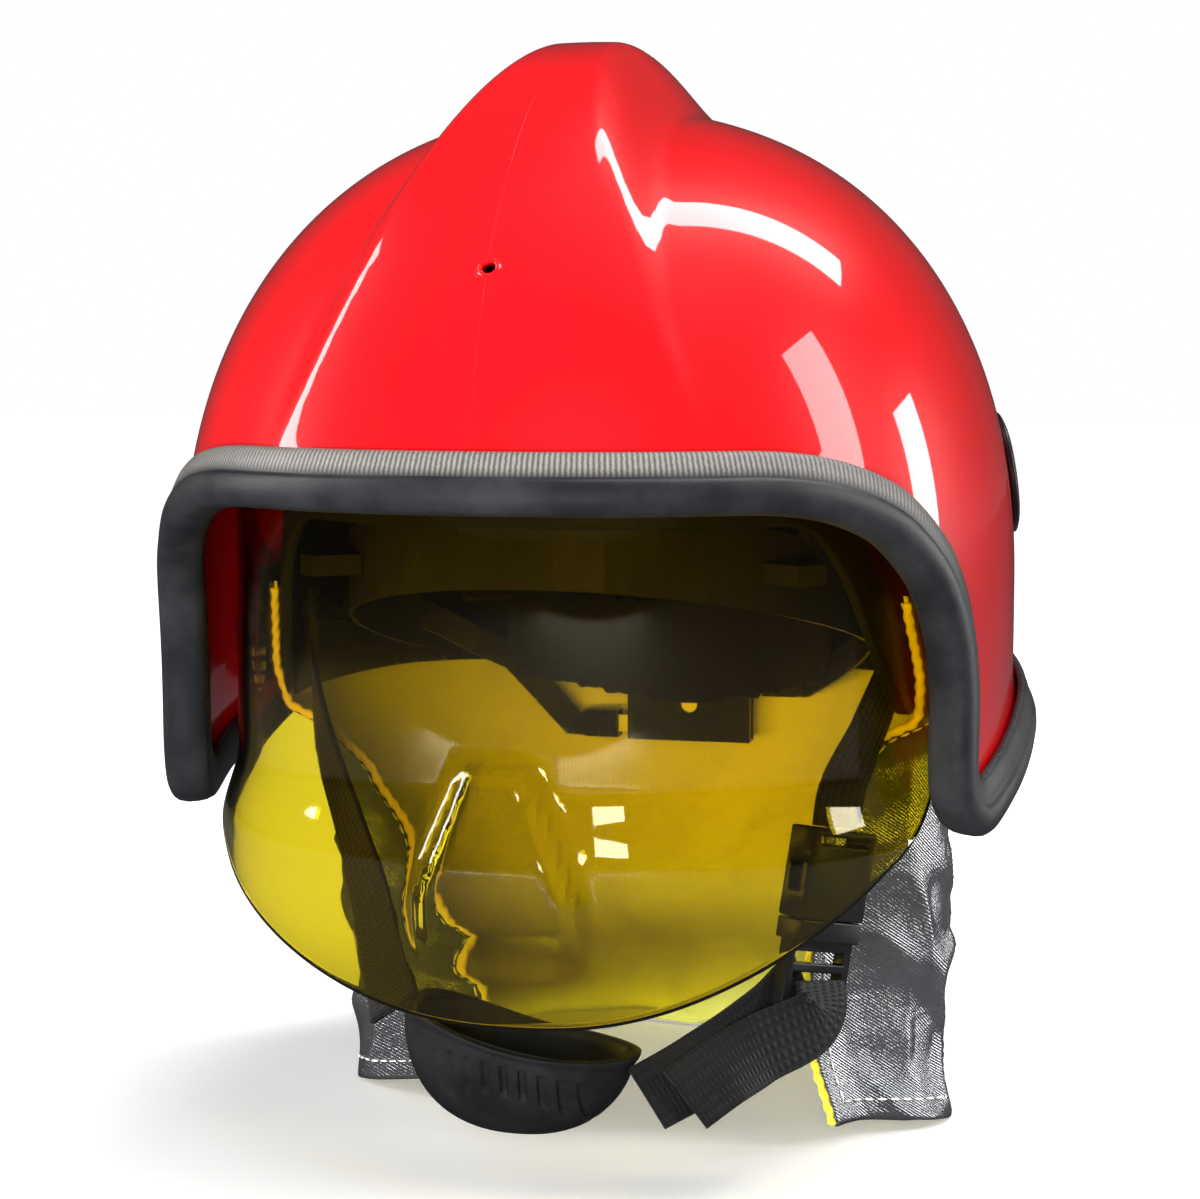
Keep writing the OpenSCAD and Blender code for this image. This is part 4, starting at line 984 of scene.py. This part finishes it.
lower_faces = [BUCKLE_OUT, BUCKLE_OUT]
lower_faces += [Vector(v) for v in ((0.7, -0.6, 0.2), (0.5, -0.7, 0.5), (0.4, -0.7, 0.6))]
lower_path = [lower_point(t) for t in (0, 0.25, 0.5, 0.75, 1)]
lower = strap("strap_lower", lower_path, lower_faces, WEB, LOOSE, "chin_strap_lower", None)
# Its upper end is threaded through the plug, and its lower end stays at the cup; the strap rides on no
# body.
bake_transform(lower)
tail_start = ladder_mid + BUCKLE_OUT * 3.4
tail_path = [tail_start, tail_start - BUCKLE_UP * 9 + BUCKLE_OUT * 2.6]
for t, face, drop in ((0.38, 2, 5), (0.58, 3, 6), (0.82, 3, 7)):
    tail_path.append(lower_point(t) + lower_faces[face].normalized() * 6.4 - UP * drop)
tail_faces = [BUCKLE_OUT, BUCKLE_OUT]
tail_faces += [Vector(v) for v in ((0.75, -0.6, 0.2), (0.5, -0.7, 0.5), (0.45, -0.7, 0.55))]
strap("strap_loose_end", tail_path, tail_faces, WEB, LOOSE, "strap_tail", "plug")

# %% [markdown]
# ## Chin cup
# A soft rubber cup takes the chin. Its rim is rolled, and ribs on its lower front let it bend.

# %% Chin cup
CUP_MID = Vector((-3.5, -86, -116))
CUP, CUP_POWER, CUP_STEPS = (34.0, 20.0, 16.0, 10.0, 33.0), 2.3, 252
cup_down = Vector((0.05, -0.3, -1)).normalized()
cup_rim = []
for k in range(CUP_STEPS):
    a = math.radians(-k * 360 / CUP_STEPS)
    height = -0.12 - 0.22 * math.cos(a) + 0.1 * math.cos(2 * a)
    cup_rim.append(Vector((math.cos(a), 0.9 * math.sin(a), height)).normalized())


def cup_place(u, v):
    t = 1 - v
    d = cup_down if t < 0.001 else toward(cup_down, cup_rim[round(u * CUP_STEPS) % CUP_STEPS], t)
    across = d.x * reach(d, CUP, CUP_POWER)
    ribs = 1.4 * ease((math.cos(across / 5.4 * 2 * math.pi) - 0.1) / 0.5)
    ribs *= ease((24 - abs(across)) / 4)
    band = ease((t - 0.42) / 0.06) * ease((0.8 - t) / 0.06) * ease(-d.y / 0.15)
    lip = 1.1 * ease((t - 0.9) / 0.08)
    return CUP_MID + d * (reach(d, CUP, CUP_POWER) - ribs * band + lip)


give_wall(make_piece("chin_rest", moved_grid(CUP_STEPS, 60, cup_place), cup_rubber, "chin_cup"), 2.4, 0.8)

# %% [markdown]
# ## Harness
# Two crown straps cross over the head, and soft pads line the band at the brow, crown and nape. The
# pads are thin foam in a knitted cover, so they are drawn a little slim and then blown up by a
# short cloth simulation, which rounds their edges as a real cover does.

# %% Crown straps
# The headband's half width, half length, middle and height.
BAND_SIDE, BAND_REACH, BAND_Y, BAND_H = 80.0, 99.0, 10.0, 24.0


def band_point(az, lift, rise):
    """Point on the tilted headband, lift mm outward from it and rise mm up."""
    a = math.radians(az)
    return Vector(((BAND_SIDE + lift) * math.sin(a), BAND_Y - (BAND_REACH + lift) * math.cos(a),
                   -6 + 24 * math.cos(a) + rise))


def over_head(az, t, top):
    """A crown strap's line from the band at one side, over the head, to the other side."""
    a, b = band_point(az, -3.2, BAND_H / 2 - 4), band_point(az + 180, -3.2, BAND_H / 2 - 4)
    middle, half, swing = (a + b) / 2, (a - b) / 2, math.cos(t * math.pi)
    rise = half.z * swing ** 3 + (top - middle.z) * math.sin(t * math.pi) ** 0.8
    return Vector((middle.x + half.x * swing, middle.y + half.y * swing, middle.z + rise))


for node, az, top in (("crown_strap_front", 52, 84), ("crown_strap_rear", -52, 86)):
    path = [over_head(az, i / 16, top) for i in range(17)]
    faces = [Vector((p.x, p.y - BAND_Y, max(2, p.z))).normalized() for p in path]
    strap(node + "_web", path, faces, 18, 1.0, node)

# %% Pads
def pad_ring(az, thick, low, high, squeeze):
    """Cross-section of a pad on the inside of the band."""
    middle, tall, deep = (low + high) / 2, (high - low) / 2 * squeeze, thick * squeeze
    return [band_point(az, -0.3 - thick / 2 + deep / 2 * math.cos(a) * 0.9, middle + tall * math.sin(a))
            for a in [2 * math.pi * k / 20 for k in range(20)]]


def keep(piece, modifier):
    """Makes a modifier's result the piece's own mesh."""
    with bpy.context.temp_override(object=piece, active_object=piece, selected_objects=[piece]):
        bpy.ops.object.modifier_apply(modifier=modifier)


def puff_up(piece, voxel_mm, most_mm):
    """Blows the piece up a little with a short cloth simulation, then keeps the result."""
    even = piece.modifiers.new("even", "REMESH")
    piece.modifiers.new("air", "CLOTH")
    even.mode = "VOXEL"
    even.voxel_size = voxel_mm * MM
    keep(piece, "even")
    before = [v.co.copy() for v in piece.data.vertices]
    cloth = piece.modifiers["air"]
    cloth.settings.use_pressure = True
    cloth.settings.uniform_pressure_force = 4
    cloth.settings.effector_weights.gravity = 0
    for step in range(1, 21):
        bpy.context.scene.frame_set(step)
    keep(piece, "air")
    bpy.context.scene.frame_set(1)
    for vert, start in zip(piece.data.vertices, before):
        move = vert.co - start
        if move.length > most_mm * MM:
            vert.co = start + move.normalized() * most_mm * MM
    piece.data.polygons.foreach_set("use_smooth", [True] * len(piece.data.polygons))
    print(f"{piece.name}: blown up, {len(piece.data.vertices)} points")


def pad(name, rings, stands_for):
    piece = make_piece(name, swept(rings, cut=(160, 60)), pad_cloth, stands_for)
    puff_up(piece, 2.5, 1.2)
    soft = piece.modifiers.new("soft", "SUBSURF")
    soft.levels = soft.render_levels = 1


def end_squeeze(i, last):
    """The two rings at each end of a pad are smaller, so that its ends are round."""
    return {last: 0.55, last - 1: 0.85}.get(abs(i), 1)


brow_rings = [pad_ring(i * 1.8, 4, -13, 13, end_squeeze(i, 24)) for i in range(-24, 25)]
pad("brow_padding", brow_rings, "brow_pad")
nape_rings = [pad_ring(180 + i * 2.3, 6, -22 + abs(i) * 0.25, 17, end_squeeze(i, 20))
              for i in range(-20, 21)]
pad("nape_padding", nape_rings, "nape_pad")
crown_rings = []
for z, r in ((87.3, 20), (87.3, 22.6), (88.0, 23.8), (89.0, 23.8), (89.9, 22.6), (90.2, 20)):
    crown_rings.append([Vector((r * math.cos(a), BAND_Y + r * math.sin(a), z))
                        for a in [2 * math.pi * k / 40 for k in range(40)]])
pad("crown_padding", crown_rings, "crown_pad")

# %% [markdown]
# ## Floor, light and camera
# The helmet stands over a plain pale floor that glows into a white room far off, so no horizon
# shows. Once light has met the helmet, floor and room are dim: only the lamps are mirrored, so the
# shield stays clear and the foil dark. Three broad fills light the helmet without being mirrored;
# five narrow lamps draw the highlights on the shell and on the shield.

# %% Floor
def bounced(add):
    """0 for what the eye sees, a third behind the shield, and 1 for light that has met the helmet."""
    path = add("LightPath").outputs
    passed = add("Math", {0: path["Transmission Depth"], 1: 0.33}, operation="MINIMUM")
    met = add("Math", {0: path["Diffuse Depth"], 1: path["Glossy Depth"]})
    return add("Math", {0: met, 1: passed}, use_clamp=True)


pale, add, sockets, at = new_finish("matt white backdrop paper", Roughness=0.9)
fibre = cloud(add, at, 300.0, 2.0)
shaded(add, sockets, fibre, "#f4f4f4", "#fafafa")
dim = add("BsdfDiffuse", {"Color": "#56565a"})
nodes = pale.node_tree.nodes
# The paper glows more with distance, so that it runs into the white room without a horizon.
distance = add("VectorMath", {0: at["Object"]}, operation="LENGTH")
far = add("MapRange", {"Value": distance, "From Min": 0.25, "From Max": 1.3,
                       "To Min": 0.22, "To Max": 1.0})
glow = add("Emission", {"Color": "#ffffff", "Strength": far})
white = add("AddShader", {0: nodes["Principled BSDF"], 1: glow})
add("MixShader", {0: bounced(add), 1: white, 2: dim}, nodes["Material Output"].inputs["Surface"])
floor_z = cad_box[0][2] / MM - 1.0
FLOOR_SIZE, FLOOR_FRONT = 9000, -2600


def floor_place(u, v):
    return FLOOR_SIZE * (u - 0.5), FLOOR_FRONT + FLOOR_SIZE * v, floor_z


floor = make_piece("paper", moved_grid(4, 4, floor_place), pale, body=None)

# %% Light
world = bpy.data.worlds.new("studio")
bpy.context.scene.world = world
world.use_nodes = True
sky = world.node_tree.nodes["Background"].inputs
sky["Color"].default_value = linear("#ffffff")
add = partial(add_node, world.node_tree)
add("MapRange", {"Value": bounced(add), "To Min": 1.0, "To Max": 0.05}, sky["Strength"])


def softbox(name, at, target, size, power, mirrored=True):
    """A rectangular lamp in metres and watts; one that isn't mirrored never shows in a reflection."""
    lamp = bpy.data.lights.new(name, "AREA")
    lamp.shape = "RECTANGLE"
    lamp.size, lamp.size_y = size
    lamp.energy = power
    holder = bpy.data.objects.new(name, lamp)
    holder.location = at
    holder.rotation_euler = (Vector(target) - Vector(at)).to_track_quat("-Z", "Y").to_euler()
    holder.visible_glossy = holder.visible_transmission = mirrored
    bpy.context.scene.collection.objects.link(holder)


softbox("ceiling", (0.4, -0.3, 1.5), (0, 0, 0), (1.2, 1.2), 22, mirrored=False)
softbox("front fill", (0.2, -1.7, 0.2), (0, 0, -0.03), (0.9, 0.7), 20, mirrored=False)
softbox("low fill", (-0.1, -1.0, -0.1), (0, 0.1, -0.11), (0.9, 0.1), 17, mirrored=False)
softbox("long lamp", (0.5, 0.5, 1.4), (0, 0, 0.05), (0.24, 1.5), 13)
softbox("left window", (-1.1, -0.3, 0.55), (0, 0, 0.05), (0.22, 1.0), 8)
softbox("right window", (1.15, 0.1, 0.52), (0, 0, 0.0), (0.3, 0.7), 5)
softbox("rear window", (1.0, 0.65, 0.12), (0, 0, -0.08), (0.2, 0.55), 3.6)
softbox("low window", (0.3, -1.6, 0.13), (0, 0, -0.1), (0.26, 0.15), 1.3)
bpy.context.scene.view_settings.view_transform = "Standard"

# %% Camera
# Fitted to the shell's outline in the photo, which is 1200 pixels wide and shows 3.251 pixels a mm at
# the helmet's middle.
TURN, DOWN, AWAY = math.radians(14.7), math.radians(5.4), 900.0
PHOTO_WIDE, PER_MM, SENSOR = 1200, 3.251, 36
back = Vector((math.sin(TURN) * math.cos(DOWN), -math.cos(TURN) * math.cos(DOWN), math.sin(DOWN)))
right = Vector((math.cos(TURN), math.sin(TURN), 0))
up = back.cross(right)
eye = back * AWAY + right * -3.1 + up * -4.9
lens = bpy.data.cameras.new("camera")
lens.sensor_width = SENSOR
lens.lens = PER_MM * AWAY / PHOTO_WIDE * SENSOR
camera = bpy.data.objects.new("camera", lens)
camera.location = eye * MM
camera.rotation_euler = (-back).to_track_quat("-Z", "Y").to_euler()
bpy.context.scene.collection.objects.link(camera)
bpy.context.scene.camera = camera
print("eye at", [round(x, 1) for x in eye], "lens", round(lens.lens, 1))
